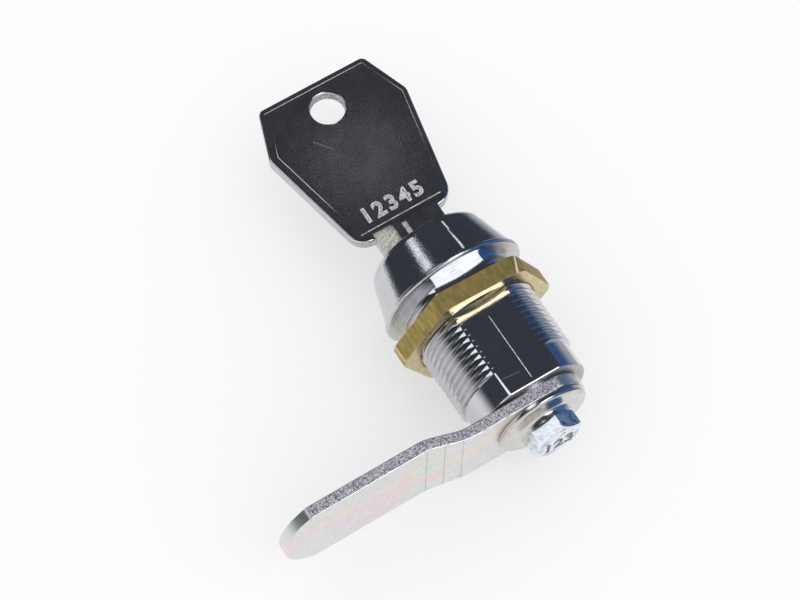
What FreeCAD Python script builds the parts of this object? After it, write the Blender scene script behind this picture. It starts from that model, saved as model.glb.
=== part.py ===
import FreeCAD, Part
import Sketcher
import math
import os

# Mailbox lock: a quarter-turn cam lock with a wafer plug, its hex nut and its key.
# Frame: the origin is the centre of the panel hole, on the rear face of the head's rim.
# +Y runs along the lock's axis to the rear, +X is the way the cam points,
# and +Z stands square on the upper flat of the barrel and on the face of the key's bow.
# All sizes are in millimetres.

# How near two numbers lie when they count as one.
NEAR = 1e-4

doc = FreeCAD.newDocument("mailbox_lock")
sheet = doc.addObject("Spreadsheet::Sheet", "sizes")

SIZES = [
    # Head and barrel
    ("rim_radius", 11.5),
    ("rim_width", 0.8),
    ("rim_step", 0.3),
    ("face_ring", 1.85),
    ("head_length", 8.6),
    ("head_rounding", 2.0),
    ("crest_radius", 9.5),
    ("thread_depth", 0.55),
    ("thread_pitch", 1.0),
    ("crest_land", 0.12),
    ("thread_start", 0.9),
    ("thread_end", 16.5),
    ("end_step", 0.5),
    ("end_chamfer", 0.4),
    ("barrel_length", 20.5),
    ("flat_height", 8.0),
    # Plug and the space it turns in
    ("plug_radius", 6.4),
    ("running_gap", 0.05),
    ("flange_lip", 0.6),
    ("flange_width", 1.6),
    ("face_recess", 0.3),
    ("plug_overhang", 0.4),
    ("lug_height", 1.0),
    ("lug_start", 195),
    ("lug_span", 60),
    ("quarter_turn", 90),
    ("stop_gap", 1),
    ("tail_width", 7.0),
    ("tail_setback", 0.2),
    ("tail_gap", 0.05),
    ("groove_gap", 0.1),
    # Wafers and their springs
    ("wafer_count", 6),
    ("first_wafer_gap", 2.1),
    ("wafer_pitch", 2.4),
    ("wafer_thickness", 1.2),
    ("wafer_height", 6.0),
    ("wafer_gap", 0.05),
    ("wafer_travel", 0.5),
    ("window_gap", 0.3),
    ("ear_height", 1.4),
    ("ear_width", 1.2),
    ("ear_start", -1.0),
    ("spring_wall", 0.35),
    ("spring_radius", 0.42),
    ("spring_wire", 0.2),
    ("spring_pitch", 0.65),
    # Retaining wafer
    ("retainer_angle", 45),
    ("retainer_setback", 3.0),
    ("retainer_width", 3.0),
    ("retainer_inner", 3.2),
    ("retainer_reach", 0.6),
    ("retainer_seat", 1.2),
    ("retainer_gap", 0.2),
    # Key
    ("key_thickness", 2.0),
    ("key_gap", 0.05),
    ("keyway_end_gap", 0.5),
    ("blade_width", 8.6),
    ("tip_reach", 4.2),
    ("tip_slope", 1.8),
    ("first_cut", 0.2),
    ("cut_step", 0.22),
    ("step_edge", 2.1),
    ("step_depth", 0.7),
    ("slot_edge", 0.0),
    ("slot_width", 0.8),
    ("slot_depth", 0.4),
    ("runout_length", 0.95),
    ("neck_width", 10.8),
    ("bow_base", 13.05),
    ("bow_base_width", 16.1),
    ("bow_rise", 19.25),
    ("bow_wide_width", 24.0),
    ("bow_cap", 8.05),
    ("bow_top_width", 18.3),
    ("bow_foot", 0.2),
    ("bow_rounding", 1.2),
    ("ring_hole_radius", 2.65),
    ("ring_hole_setback", 4.9),
    # Nut
    ("nut_front", 3.25),
    ("nut_thickness", 2.9),
    ("nut_step", 0.3),
    ("nut_chamfer", 0.25),
    ("nut_turn", 4),
    # Cam, washer and screw
    ("cam_thickness", 1.8),
    ("cam_reach", 41.5),
    ("hub_width", 13.6),
    ("hub_bulge", 0.7),
    ("tip_width", 15.2),
    ("tip_bulge", 0.9),
    ("crank_start", 12.4),
    ("crank_length", 5.6),
    ("crank_offset", 1.35),
    ("bend_radius", 3.0),
    ("washer_radius", 7.2),
    ("washer_gap", 0.2),
    ("washer_thickness", 1.0),
    ("washer_dish", 1.3),
    ("screw_radius", 2.45),
    ("screw_gap", 0.05),
    ("screw_tip_gap", 1.3),
    ("screw_pocket", 0.4),
    ("screw_head_flats", 7.2),
    ("screw_head_height", 2.4),
    ("screw_head_chamfer", 0.4),
    ("screw_turn", 38),
    ("washer_rounding", 0.4),
    # How far a cut runs past the surface that it opens
    ("overcut", 1),
]

for row, (alias, size) in enumerate(SIZES, 1):
    sheet.set(f"A{row}", alias)
    sheet.set(f"B{row}", str(size))
    sheet.setAlias(f"B{row}", alias)
doc.recompute()


def value(expression):
    """The number that an expression over the sheet's sizes stands for."""
    return float(sheet.evalExpression(expression))


# Places that several pieces share, written as expressions over the sheet.
BORE = "(sizes.plug_radius + sizes.running_gap)"
FLANGE = "(sizes.plug_radius + sizes.flange_lip)"
COUNTERBORE = f"({FLANGE} + sizes.running_gap)"
FRONT = "-sizes.head_length"
PLUG_FACE = f"({FRONT} + sizes.face_recess)"
FLANGE_BACK = f"({PLUG_FACE} + sizes.flange_width)"
PLUG_BACK = "(sizes.barrel_length + sizes.plug_overhang)"
CAM_BACK = f"({PLUG_BACK} + sizes.cam_thickness)"
TAIL_END = f"({CAM_BACK} - sizes.tail_setback)"
SCREW_SEAT = f"({CAM_BACK} + sizes.washer_dish + sizes.washer_thickness)"
SLOT_HALF = "(sizes.wafer_thickness / 2 + sizes.wafer_gap)"
WAFER_TOP = "(sizes.wafer_height / 2)"
EAR_END = "(sizes.ear_start + sizes.ear_width)"
POCKET_TOP = f"({WAFER_TOP} + sizes.ear_height + sizes.groove_gap)"
SPRING_END = f"(sizes.spring_wall - sqrt(sizes.plug_radius ^ 2 - {POCKET_TOP} ^ 2))"
BLADE_HALF = "(sizes.blade_width / 2)"
KEY_HALF = "(sizes.key_thickness / 2)"
STEP_FLOOR = f"({KEY_HALF} - sizes.step_depth)"
SLOT_FLOOR = f"({KEY_HALF} - sizes.slot_depth)"
SLOT_END = "(sizes.slot_edge + sizes.slot_width)"


def wafer_place(number):
    """Where the middle of a wafer lies along the axis, counted from the front."""
    return f"({FLANGE_BACK} + sizes.first_wafer_gap + {number} * sizes.wafer_pitch)"


BLADE_TIP = f"({wafer_place('(sizes.wafer_count - 1)')} + sizes.tip_reach)"
RETAINER = f"({BLADE_TIP} + sizes.retainer_setback)"
RETAINER_OUTER = "(sizes.plug_radius + sizes.retainer_reach)"
SCREW_TIP = f"({RETAINER} + sizes.wafer_thickness / 2 + sizes.screw_tip_gap)"

# How many wire thicknesses shorter a coil's line is than the room for the spring.
SPRING_END_SHARE = 1.5


def new_body(label):
    body = doc.addObject("PartDesign::Body", label)
    body.Label = label
    return body


def new_sketch(body, name, role, offset="0"):
    """A sketch on one of the body's own origin planes, moved along the plane's normal."""
    sketch = body.newObject("Sketcher::SketchObject", name)
    plane = [feature for feature in body.Origin.OriginFeatures if feature.Role == role][0]
    sketch.AttachmentSupport = [(plane, "")]
    sketch.MapMode = "FlatFace"
    if offset != "0":
        sketch.setExpression("AttachmentOffset.Base.z", offset)
    return sketch


def cross_sketch(body, name, place):
    """A sketch square to the axis at a place along it: across is X and up is Z."""
    return new_sketch(body, name, "XZ_Plane", f"-1 * {place}")


def pin_point(sketch, edge, end, corner):
    """Holds one end of an edge at a corner given by two expressions."""
    for kind, expression, axis in (("DistanceX", corner[0], -2), ("DistanceY", corner[1], -1)):
        distance = value(expression)
        if abs(distance) < NEAR:
            sketch.addConstraint(Sketcher.Constraint("PointOnObject", edge, end, axis))
        else:
            held = Sketcher.Constraint(kind, -1, 1, edge, end, distance)
            number = sketch.addConstraint(held)
            sketch.setExpression(f"Constraints[{number}]", expression)


def outline(sketch, corners, arcs=None):
    """A closed outline through corners. An arc replaces the edge that leaves its corner.

    Each arc is (x sign, y sign, radius): the side that it bulges to, and its radius.
    """
    arcs = arcs or {}
    first = sketch.GeometryCount
    points = [FreeCAD.Vector(value(x), value(y), 0) for x, y in corners]
    for number, start in enumerate(points):
        end = points[(number + 1) % len(points)]
        if number in arcs:
            across, up, radius = arcs[number]
            half = (end - start).Length / 2
            reach = value(radius)
            rise = reach - (reach ** 2 - half ** 2) ** 0.5
            middle = (start + end) / 2 + FreeCAD.Vector(across, up, 0).normalize() * rise
            sketch.addGeometry(Part.Arc(start, middle, end), False)
        else:
            sketch.addGeometry(Part.LineSegment(start, end), False)
    ends = {}
    for number, start in enumerate(points):
        edge = sketch.Geometry[first + number]
        forward = (edge.StartPoint - start).Length < NEAR
        ends[number] = (1, 2) if forward else (2, 1)
    for number in range(len(points)):
        following = (number + 1) % len(points)
        joined = Sketcher.Constraint(
            "Coincident", first + number, ends[number][1], first + following, ends[following][0])
        sketch.addConstraint(joined)
    for number, corner in enumerate(corners):
        pin_point(sketch, first + number, ends[number][0], corner)
    for number, (_, _, radius) in arcs.items():
        held = Sketcher.Constraint("Radius", first + number, value(radius))
        sketch.setExpression(f"Constraints[{sketch.addConstraint(held)}]", radius)


def rectangle(sketch, left, right, low, high):
    outline(sketch, [(left, low), (right, low), (right, high), (left, high)])


def circle(sketch, across, up, radius):
    """A circle about a point given by two expressions."""
    centre = FreeCAD.Vector(value(across), value(up), 0)
    number = sketch.addGeometry(Part.Circle(centre, FreeCAD.Vector(0, 0, 1), value(radius)), False)
    pin_point(sketch, number, 3, (across, up))
    held = Sketcher.Constraint("Radius", number, value(radius))
    sketch.setExpression(f"Constraints[{sketch.addConstraint(held)}]", radius)


def revolve(body, name, sketch):
    feature = body.newObject("PartDesign::Revolution", name)
    feature.Profile = sketch
    feature.ReferenceAxis = (sketch, ["V_Axis"])
    feature.Angle = 360
    doc.recompute()
    return feature


def pad(body, name, sketch, length, rearward=True, midplane=False):
    """Adds a sketch's outline as a plate. A sketch square to the axis grows to the rear."""
    feature = body.newObject("PartDesign::Pad", name)
    feature.Profile = sketch
    feature.setExpression("Length", length)
    feature.Midplane = midplane
    feature.Reversed = rearward and not midplane
    doc.recompute()
    return feature


def check_cut(body, name, before):
    if body.Shape.Volume > before - NEAR:
        raise RuntimeError(f"{name} removes nothing")


def pocket(body, name, sketch, length, rearward=True, midplane=False):
    """Removes a sketch's outline. A sketch square to the axis cuts to the rear."""
    before = body.Shape.Volume
    feature = body.newObject("PartDesign::Pocket", name)
    feature.Profile = sketch
    feature.setExpression("Length", length)
    feature.Midplane = midplane
    feature.Reversed = not rearward and not midplane
    doc.recompute()
    check_cut(body, name, before)
    return feature


def groove(body, name, sketch):
    before = body.Shape.Volume
    feature = body.newObject("PartDesign::Groove", name)
    feature.Profile = sketch
    feature.ReferenceAxis = (sketch, ["V_Axis"])
    feature.Angle = 360
    doc.recompute()
    check_cut(body, name, before)
    return feature


def fillet(body, name, base, radius, chosen):
    """Rounds the edges of a feature for which the test holds."""
    names = [f"Edge{n}" for n, edge in enumerate(base.Shape.Edges, 1) if chosen(edge)]
    if not names:
        raise RuntimeError(f"{name} finds no edge")
    feature = body.newObject("PartDesign::Fillet", name)
    feature.Base = (base, names)
    feature.setExpression("Radius", radius)
    doc.recompute()
    if "Invalid" in feature.State:
        raise RuntimeError(f"{name} can't be rounded")
    return feature


def is_upright(edge):
    """True for a straight edge along Z."""
    if len(edge.Vertexes) != 2:
        return False
    run = edge.Vertexes[1].Point - edge.Vertexes[0].Point
    return edge.Curve.TypeId == "Part::GeomLine" and abs(run.x) + abs(run.y) < NEAR


def turned(radial, across, angle="sizes.retainer_angle"):
    """A corner at a radial and a sideways distance, turned from +X towards +Z."""
    x = f"({radial}) * cos({angle}) - ({across}) * sin({angle})"
    z = f"({radial}) * sin({angle}) + ({across}) * cos({angle})"
    return (x, z)


def sector(sketch, outer, start, span):
    """A wedge from the axis out to a radius, open by less than half a turn."""
    first = (f"{outer} * cos({start})", f"{outer} * sin({start})")
    last = (f"{outer} * cos({start} + {span})", f"{outer} * sin({start} + {span})")
    middle = value(start) + value(span) / 2
    bulge = (value(f"cos({middle})"), value(f"sin({middle})"), outer)
    outline(sketch, [("0", "0"), first, last], {1: bulge})


def hexagon(sketch, across_flats, turn="0"):
    """A regular hexagon about the axis with its first corner on +X."""
    corner = f"{across_flats} / 2 / cos(30)"
    angles = [f"({turn} + {60 * number})" for number in range(6)]
    outline(sketch, [(f"{corner} * cos({a})", f"{corner} * sin({a})") for a in angles])


def corner_chamfer(body, name, across_flats, depth, place, rearward):
    """Turns the corners of a hexagon's end face down to a cone that touches the flats."""
    inside, outside = ("-", "+") if rearward else ("+", "-")
    flat = f"({across_flats} / 2)"
    corner = f"({flat} / cos(30))"
    slope = f"({depth} / ({corner} - {flat}))"
    far = f"(2 * {corner} - {flat})"
    low = f"{place} {inside} {slope} * ({far} - {flat})"
    high = f"{place} {outside} {depth}"
    sketch = new_sketch(body, f"{name}_outline", "XY_Plane")
    outline(sketch, [(flat, place), (far, low), (far, high), (flat, high)])
    return groove(body, name, sketch)


def make_housing():
    """Die-cast head and barrel in one, bored for the plug."""
    body = new_body("housing")
    profile = new_sketch(body, "housing_profile", "XY_Plane")
    step = f"({FLANGE_BACK} + sizes.running_gap)"
    slack = "(sizes.wafer_thickness / 2 + sizes.retainer_gap)"
    catch = f"({RETAINER_OUTER} + sizes.retainer_gap)"
    end_radius = "(sizes.crest_radius - sizes.end_step)"
    cone_front = f"({COUNTERBORE} + sizes.face_ring)"
    outline(profile, [
        (COUNTERBORE, FRONT),
        (COUNTERBORE, step),
        (BORE, step),
        (BORE, f"{RETAINER} - {slack}"),
        (catch, f"{RETAINER} - {slack}"),
        (catch, f"{RETAINER} + {slack}"),
        (BORE, f"{RETAINER} + {slack}"),
        (BORE, "sizes.barrel_length"),
        (f"{end_radius} - sizes.end_chamfer", "sizes.barrel_length"),
        (end_radius, "sizes.barrel_length - sizes.end_chamfer"),
        (end_radius, "sizes.thread_end"),
        ("sizes.crest_radius", "sizes.thread_end"),
        ("sizes.crest_radius", "0"),
        ("sizes.rim_radius", "0"),
        ("sizes.rim_radius", "-sizes.rim_width"),
        ("sizes.rim_radius - sizes.rim_step", "-sizes.rim_width"),
        (cone_front, FRONT),
    ])
    turned_blank = revolve(body, "housing_blank", profile)
    edge_radius = value(cone_front)
    front = value(FRONT)

    def front_edge(edge):
        return (edge.Curve.TypeId == "Part::GeomCircle"
                and abs(edge.Curve.Radius - edge_radius) < NEAR
                and abs(edge.Curve.Center.y - front) < NEAR)

    fillet(body, "head_rounded", turned_blank, "sizes.head_rounding", front_edge)

    # The thread is drawn as rings, one for each turn.
    tooth = new_sketch(body, "thread_tooth", "XY_Plane")
    first = "(sizes.thread_start + sizes.crest_land / 2)"
    last = "(sizes.thread_start + sizes.thread_pitch - sizes.crest_land / 2)"
    outline(tooth, [
        ("sizes.crest_radius", first),
        ("sizes.crest_radius + sizes.overcut", first),
        ("sizes.crest_radius + sizes.overcut", last),
        ("sizes.crest_radius", last),
        ("sizes.crest_radius - sizes.thread_depth", f"({first} + {last}) / 2"),
    ])
    first_turn = groove(body, "thread_first_turn", tooth)
    turns = int(value("(sizes.thread_end - sizes.thread_start) / sizes.thread_pitch"))
    thread = body.newObject("PartDesign::LinearPattern", "thread_turns")
    thread.Originals = [first_turn]
    thread.Direction = (tooth, ["V_Axis"])
    thread.setExpression("Length", f"sizes.thread_pitch * {turns - 1}")
    thread.Occurrences = turns
    body.Tip = thread
    doc.recompute()

    flats = cross_sketch(body, "flats_outline", "0")
    reach = "sizes.crest_radius + sizes.overcut"
    rectangle(flats, f"-({reach})", reach, "sizes.flat_height", reach)
    rectangle(flats, f"-({reach})", reach, f"-({reach})", "-sizes.flat_height")
    pocket(body, "flats", flats, "sizes.barrel_length + sizes.overcut")

    # Two pairs of grooves let the wafers lock the plug at rest and after a quarter turn.
    half = f"({WAFER_TOP} + sizes.groove_gap)"
    reach = "(sizes.plug_radius + sizes.wafer_travel + 2 * sizes.groove_gap)"
    groove_start = f"({wafer_place(0)} - {SLOT_HALF} - sizes.groove_gap)"
    groove_length = f"sizes.barrel_length + sizes.overcut - {groove_start}"
    for name, across, up in (("side_grooves", reach, half), ("upright_grooves", half, reach)):
        sketch = cross_sketch(body, f"{name}_outline", groove_start)
        rectangle(sketch, f"-({across})", across, f"-({up})", up)
        pocket(body, name, sketch, groove_length)

    # The floor of the counterbore has a recess in which the plug's lug can turn a quarter.
    stop = cross_sketch(body, "stop_recess_outline", f"({step} - sizes.overcut)")
    sector(stop, COUNTERBORE,
           "(sizes.lug_start - sizes.stop_gap)",
           "(sizes.lug_span + sizes.quarter_turn + 2 * sizes.stop_gap)")
    pocket(body, "stop_recess", stop, "sizes.lug_height + sizes.overcut")
    return body


def make_plug():
    """Die-cast plug: flange with its stop lug, keyway, wafer slots and square tail."""
    body = new_body("plug")
    profile = new_sketch(body, "plug_profile", "XY_Plane")
    outline(profile, [
        ("0", PLUG_FACE),
        (FLANGE, PLUG_FACE),
        (FLANGE, FLANGE_BACK),
        ("sizes.plug_radius", FLANGE_BACK),
        ("sizes.plug_radius", PLUG_BACK),
        ("0", PLUG_BACK),
    ])
    revolve(body, "plug_blank", profile)
    lug = cross_sketch(body, "lug_outline", PLUG_FACE)
    sector(lug, FLANGE, "sizes.lug_start", "sizes.lug_span")
    pad(body, "stop_lug", lug, "sizes.flange_width + sizes.lug_height")
    tail = cross_sketch(body, "tail_outline", PLUG_BACK)
    rectangle(tail, "-sizes.tail_width / 2", "sizes.tail_width / 2",
              "-sizes.tail_width / 2", "sizes.tail_width / 2")
    pad(body, "square_tail", tail, f"{TAIL_END} - {PLUG_BACK}")

    # The keyway has two ribs, which fit the grooves milled in the key.
    keyway = cross_sketch(body, "keyway_outline", PLUG_FACE)
    gap = "sizes.key_gap"
    outline(keyway, [
        (f"-({BLADE_HALF}) - {gap}", f"-({KEY_HALF}) - {gap}"),
        (f"{BLADE_HALF} + {gap}", f"-({KEY_HALF}) - {gap}"),
        (f"{BLADE_HALF} + {gap}", f"{STEP_FLOOR} + {gap}"),
        (f"sizes.step_edge + {gap}", f"{STEP_FLOOR} + {gap}"),
        (f"sizes.step_edge + {gap}", f"{KEY_HALF} + {gap}"),
        (f"{SLOT_END} - {gap}", f"{KEY_HALF} + {gap}"),
        (f"{SLOT_END} - {gap}", f"{SLOT_FLOOR} + {gap}"),
        (f"sizes.slot_edge + {gap}", f"{SLOT_FLOOR} + {gap}"),
        (f"sizes.slot_edge + {gap}", f"{KEY_HALF} + {gap}"),
        (f"-({BLADE_HALF}) - {gap}", f"{KEY_HALF} + {gap}"),
    ])
    pocket(body, "keyway", keyway, f"{BLADE_TIP} + sizes.keyway_end_gap - {PLUG_FACE}")

    for number in range(int(value("sizes.wafer_count"))):
        start = f"({wafer_place(number)} - {SLOT_HALF})"
        slot = cross_sketch(body, f"slot_{number + 1}_outline", start)
        side = "(sizes.plug_radius + sizes.overcut)"
        edge = f"({WAFER_TOP} + sizes.wafer_gap)"
        pocket_end = f"({EAR_END} + sizes.wafer_travel + sizes.groove_gap)"
        outline(slot, [
            (f"-{side}", f"-{edge}"),
            (side, f"-{edge}"),
            (side, edge),
            (pocket_end, edge),
            (pocket_end, POCKET_TOP),
            (SPRING_END, POCKET_TOP),
            (SPRING_END, edge),
            (f"-{side}", edge),
        ])
        pocket(body, f"slot_{number + 1}", slot, f"2 * {SLOT_HALF}")

    retainer = cross_sketch(body, "retainer_slot_outline", f"({RETAINER} - {SLOT_HALF})")
    half = "(sizes.retainer_width / 2 + sizes.wafer_gap)"
    far = "sizes.plug_radius + sizes.overcut"
    outline(retainer, [turned("sizes.retainer_seat", f"-{half}"), turned(far, f"-{half}"),
                       turned(far, half), turned("sizes.retainer_seat", half)])
    pocket(body, "retainer_slot", retainer, f"2 * {SLOT_HALF}")

    tapped = cross_sketch(body, "screw_hole_outline", TAIL_END)
    circle(tapped, "0", "0", "sizes.screw_radius + sizes.screw_gap")
    depth = f"{TAIL_END} - {SCREW_TIP} + sizes.screw_pocket"
    pocket(body, "screw_hole", tapped, depth, rearward=False)
    return body


def cut_edge(number):
    """Where the key's cut edge lies at a wafer. The cuts deepen towards the tip."""
    return f"(sizes.first_cut + {number} * sizes.cut_step - {BLADE_HALF})"


def make_wafer(number):
    """Brass plate with a window for the blade and an ear for its spring."""
    body = new_body(f"wafer_{number + 1}")
    start = f"({wafer_place(number)} - sizes.wafer_thickness / 2)"
    sketch = cross_sketch(body, f"wafer_{number + 1}_outline", start)
    corner = f"sqrt(sizes.plug_radius ^ 2 - {WAFER_TOP} ^ 2)"
    outline(sketch, [
        (f"-{corner}", f"-{WAFER_TOP}"),
        (corner, f"-{WAFER_TOP}"),
        (corner, WAFER_TOP),
        (EAR_END, WAFER_TOP),
        (EAR_END, f"{WAFER_TOP} + sizes.ear_height"),
        ("sizes.ear_start", f"{WAFER_TOP} + sizes.ear_height"),
        ("sizes.ear_start", WAFER_TOP),
        (f"-{corner}", WAFER_TOP),
    ], {1: (1, 0, "sizes.plug_radius"), 7: (-1, 0, "sizes.plug_radius")})
    window = f"({KEY_HALF} + sizes.window_gap)"
    rectangle(sketch, f"{cut_edge(number)} - sizes.key_gap", f"{BLADE_HALF} + sizes.key_gap",
              f"-{window}", window)
    pad(body, f"wafer_{number + 1}_plate", sketch, "sizes.wafer_thickness")
    return body


def arc_to(start, end, corner):
    """The arc between two points whose tangents meet at a corner."""
    middle = (start + end) / 2
    lean = math.atan2((corner - middle).Length, (end - start).Length / 2)
    crown = middle + (corner - middle) * (math.tan(lean / 2) / math.tan(lean))
    return Part.Arc(start, crown, end)


def coil_place(turn, radius, pitch):
    """The point on a coil's line after some turns, and the line's direction there."""
    angle = 2 * math.pi * turn
    point = FreeCAD.Vector(radius * math.cos(angle), radius * math.sin(angle), pitch * turn)
    rise = pitch / (2 * math.pi)
    along = FreeCAD.Vector(-radius * math.sin(angle), radius * math.cos(angle), rise)
    return point, along.normalize()


def make_coil(label, length, placement):
    """A compression spring of round wire, wound about its own Z axis from its base.

    Each quarter turn is two arcs that leave its ends along the coil's line.
    """
    radius, pitch, wire = (value(f"sizes.spring_{name}") for name in ("radius", "pitch", "wire"))
    turns = (value(length) - SPRING_END_SHARE * wire) / pitch
    steps = math.ceil(turns * 4)
    arcs = []
    for step in range(steps):
        start, leaving = coil_place(turns * step / steps, radius, pitch)
        end, arriving = coil_place(turns * (step + 1) / steps, radius, pitch)
        chord = end - start
        bend = 2 * (1 - leaving.dot(arriving))
        pull = chord.dot(leaving + arriving)
        reach = (math.sqrt(pull ** 2 + bend * chord.dot(chord)) - pull) / bend
        first_corner, last_corner = start + leaving * reach, end - arriving * reach
        joint = (first_corner + last_corner) / 2
        arcs.append(arc_to(start, joint, first_corner))
        arcs.append(arc_to(joint, end, last_corner))
    start, leaving = coil_place(0, radius, pitch)
    shell = Part.BRepOffsetAPI.MakePipeShell(Part.Wire([arc.toShape() for arc in arcs]))
    shell.add(Part.Wire(Part.Circle(start, leaving, wire / 2).toShape()))
    shell.build()
    shell.makeSolid()
    coil = doc.addObject("Part::Feature", label)
    coil.Label = label
    coil.Shape = shell.shape()
    coil.Placement = placement
    return coil


def make_wafer_spring(number):
    """Spring between the wafer's ear and the end of its pocket in the plug."""
    base = value(f"{SPRING_END} + {SPRING_END_SHARE / 2} * sizes.spring_wire")
    height = value(f"({WAFER_TOP} + {POCKET_TOP}) / 2")
    place = FreeCAD.Vector(base, value(wafer_place(number)), height)
    along_x = FreeCAD.Rotation(FreeCAD.Vector(0, 0, 1), FreeCAD.Vector(1, 0, 0))
    placement = FreeCAD.Placement(place, along_x)
    length = f"(sizes.ear_start - {SPRING_END})"
    return make_coil(f"wafer_spring_{number + 1}", length, placement)


def make_retaining_wafer():
    """Sprung plate that stands out of the plug into the ring groove and keeps the plug in."""
    body = new_body("retaining_wafer")
    start = f"({RETAINER} - sizes.wafer_thickness / 2)"
    sketch = cross_sketch(body, "retaining_wafer_outline", start)
    half = "sizes.retainer_width / 2"
    outer = f"sqrt({RETAINER_OUTER} ^ 2 - ({half}) ^ 2)"
    bulge = (value("cos(sizes.retainer_angle)"), value("sin(sizes.retainer_angle)"))
    outline(sketch, [
        turned("sizes.retainer_inner", f"-({half})"),
        turned(outer, f"-({half})"),
        turned(outer, half),
        turned("sizes.retainer_inner", half),
    ], {1: (*bulge, RETAINER_OUTER)})
    pad(body, "retaining_wafer_plate", sketch, "sizes.wafer_thickness")
    return body


def make_retaining_spring():
    radial = value(f"sizes.retainer_seat + {SPRING_END_SHARE / 2} * sizes.spring_wire")
    angle = value("sizes.retainer_angle")
    outward = FreeCAD.Rotation(FreeCAD.Vector(0, -1, 0), angle).multVec(FreeCAD.Vector(1, 0, 0))
    place = outward * radial + FreeCAD.Vector(0, value(RETAINER), 0)
    placement = FreeCAD.Placement(place, FreeCAD.Rotation(FreeCAD.Vector(0, 0, 1), outward))
    return make_coil("retaining_spring", "(sizes.retainer_inner - sizes.retainer_seat)", placement)


def make_nut():
    """Thin brass hex nut whose bore runs over the crests of the barrel's thread."""
    body = new_body("hex_nut")
    bore = "(sizes.crest_radius + sizes.running_gap)"
    flats = "(2 * (sizes.rim_radius - sizes.nut_step))"
    sketch = cross_sketch(body, "nut_outline", "sizes.nut_front")
    hexagon(sketch, flats, "sizes.nut_turn")
    circle(sketch, "0", "0", bore)
    pad(body, "nut_plate", sketch, "sizes.nut_thickness")
    back = "(sizes.nut_front + sizes.nut_thickness)"
    corner_chamfer(body, "nut_back_chamfer", flats, "sizes.nut_chamfer", back, True)
    corner_chamfer(body, "nut_front_chamfer", flats, "sizes.nut_chamfer", "sizes.nut_front", False)
    return body


def make_cam():
    """Cranked steel cam: a hub on the plug's tail and a tip set back towards the panel."""
    body = new_body("cam")
    side = new_sketch(body, "cam_side", "XY_Plane")
    low, high = PLUG_BACK, CAM_BACK
    hub = "(sizes.hub_width / 2)"
    tip = "(sizes.tip_width / 2)"
    hub_round = f"({hub} + sizes.hub_bulge)"
    tip_round = f"({tip} + sizes.tip_bulge)"
    crank_end = "(sizes.crank_start + sizes.crank_length)"
    hub_end = f"-({hub_round} + sizes.overcut)"
    far = "sizes.cam_reach + sizes.overcut"
    outline(side, [
        (hub_end, low),
        ("sizes.crank_start", low),
        (crank_end, f"{low} - sizes.crank_offset"),
        (far, f"{low} - sizes.crank_offset"),
        (far, f"{high} - sizes.crank_offset"),
        (crank_end, f"{high} - sizes.crank_offset"),
        ("sizes.crank_start", high),
        (hub_end, high),
    ])
    strip = pad(body, "cam_strip", side, f"2 * ({hub} + {tip})", midplane=True)
    bends = (value("sizes.crank_start"), value(crank_end))

    def at_bend(edge):
        return is_upright(edge) and min(abs(edge.Vertexes[0].X - bend) for bend in bends) < NEAR

    fillet(body, "cam_bends", strip, "sizes.bend_radius", at_bend)

    plan = cross_sketch(body, "cam_plan", f"({low} - sizes.crank_offset - sizes.overcut)")
    wide = f"(2 * ({hub} + {tip}))"
    rectangle(plan, f"-{wide}", f"sizes.cam_reach + {wide}", f"-{wide}", wide)
    hub_corner = f"-sqrt({hub_round} ^ 2 - {hub} ^ 2)"
    side_end = f"(sizes.cam_reach - {tip_round} + sqrt({tip_round} ^ 2 - {tip} ^ 2))"
    outline(plan, [
        (hub_corner, f"-{hub}"),
        ("sizes.crank_start", f"-{hub}"),
        (crank_end, f"-{tip}"),
        (side_end, f"-{tip}"),
        (side_end, tip),
        (crank_end, tip),
        ("sizes.crank_start", hub),
        (hub_corner, hub),
    ], {3: (1, 0, tip_round), 7: (-1, 0, hub_round)})
    depth = "sizes.cam_thickness + sizes.crank_offset + 2 * sizes.overcut"
    pocket(body, "cam_trim", plan, depth)

    square = cross_sketch(body, "cam_square", f"({low} - sizes.overcut)")
    half = "(sizes.tail_width / 2 + sizes.tail_gap)"
    rectangle(square, f"-{half}", half, f"-{half}", half)
    pocket(body, "cam_square_hole", square, "sizes.cam_thickness + 2 * sizes.overcut")
    return body


def make_washer():
    """Dished spring washer between the cam and the screw's head."""
    body = new_body("spring_washer")
    profile = new_sketch(body, "washer_profile", "XY_Plane")
    hole = "(sizes.screw_radius + sizes.washer_gap)"
    outline(profile, [
        (hole, f"{CAM_BACK} + sizes.washer_dish"),
        ("sizes.washer_radius", CAM_BACK),
        ("sizes.washer_radius", f"{CAM_BACK} + sizes.washer_thickness"),
        (hole, SCREW_SEAT),
    ])
    washer = revolve(body, "washer_ring", profile)
    rim = value("sizes.washer_radius")

    def rear_rim(edge):
        return (edge.Curve.TypeId == "Part::GeomCircle" and abs(edge.Curve.Radius - rim) < NEAR
                and edge.Curve.Center.y > value(CAM_BACK) + NEAR)

    fillet(body, "washer_rounded", washer, "sizes.washer_rounding", rear_rim)
    return body


def make_screw():
    """Hex-head screw that clamps the cam to the plug's tail."""
    body = new_body("cam_screw")
    head = cross_sketch(body, "screw_head_outline", SCREW_SEAT)
    hexagon(head, "sizes.screw_head_flats", "sizes.screw_turn")
    pad(body, "screw_head", head, "sizes.screw_head_height")
    end = f"({SCREW_SEAT} + sizes.screw_head_height)"
    flats, chamfer = "sizes.screw_head_flats", "sizes.screw_head_chamfer"
    corner_chamfer(body, "screw_head_rounded", flats, chamfer, end, True)
    shank = cross_sketch(body, "screw_shank_outline", SCREW_SEAT)
    circle(shank, "0", "0", "sizes.screw_radius")
    pad(body, "screw_shank", shank, f"{SCREW_SEAT} - {SCREW_TIP}", rearward=False)
    return body


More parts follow.
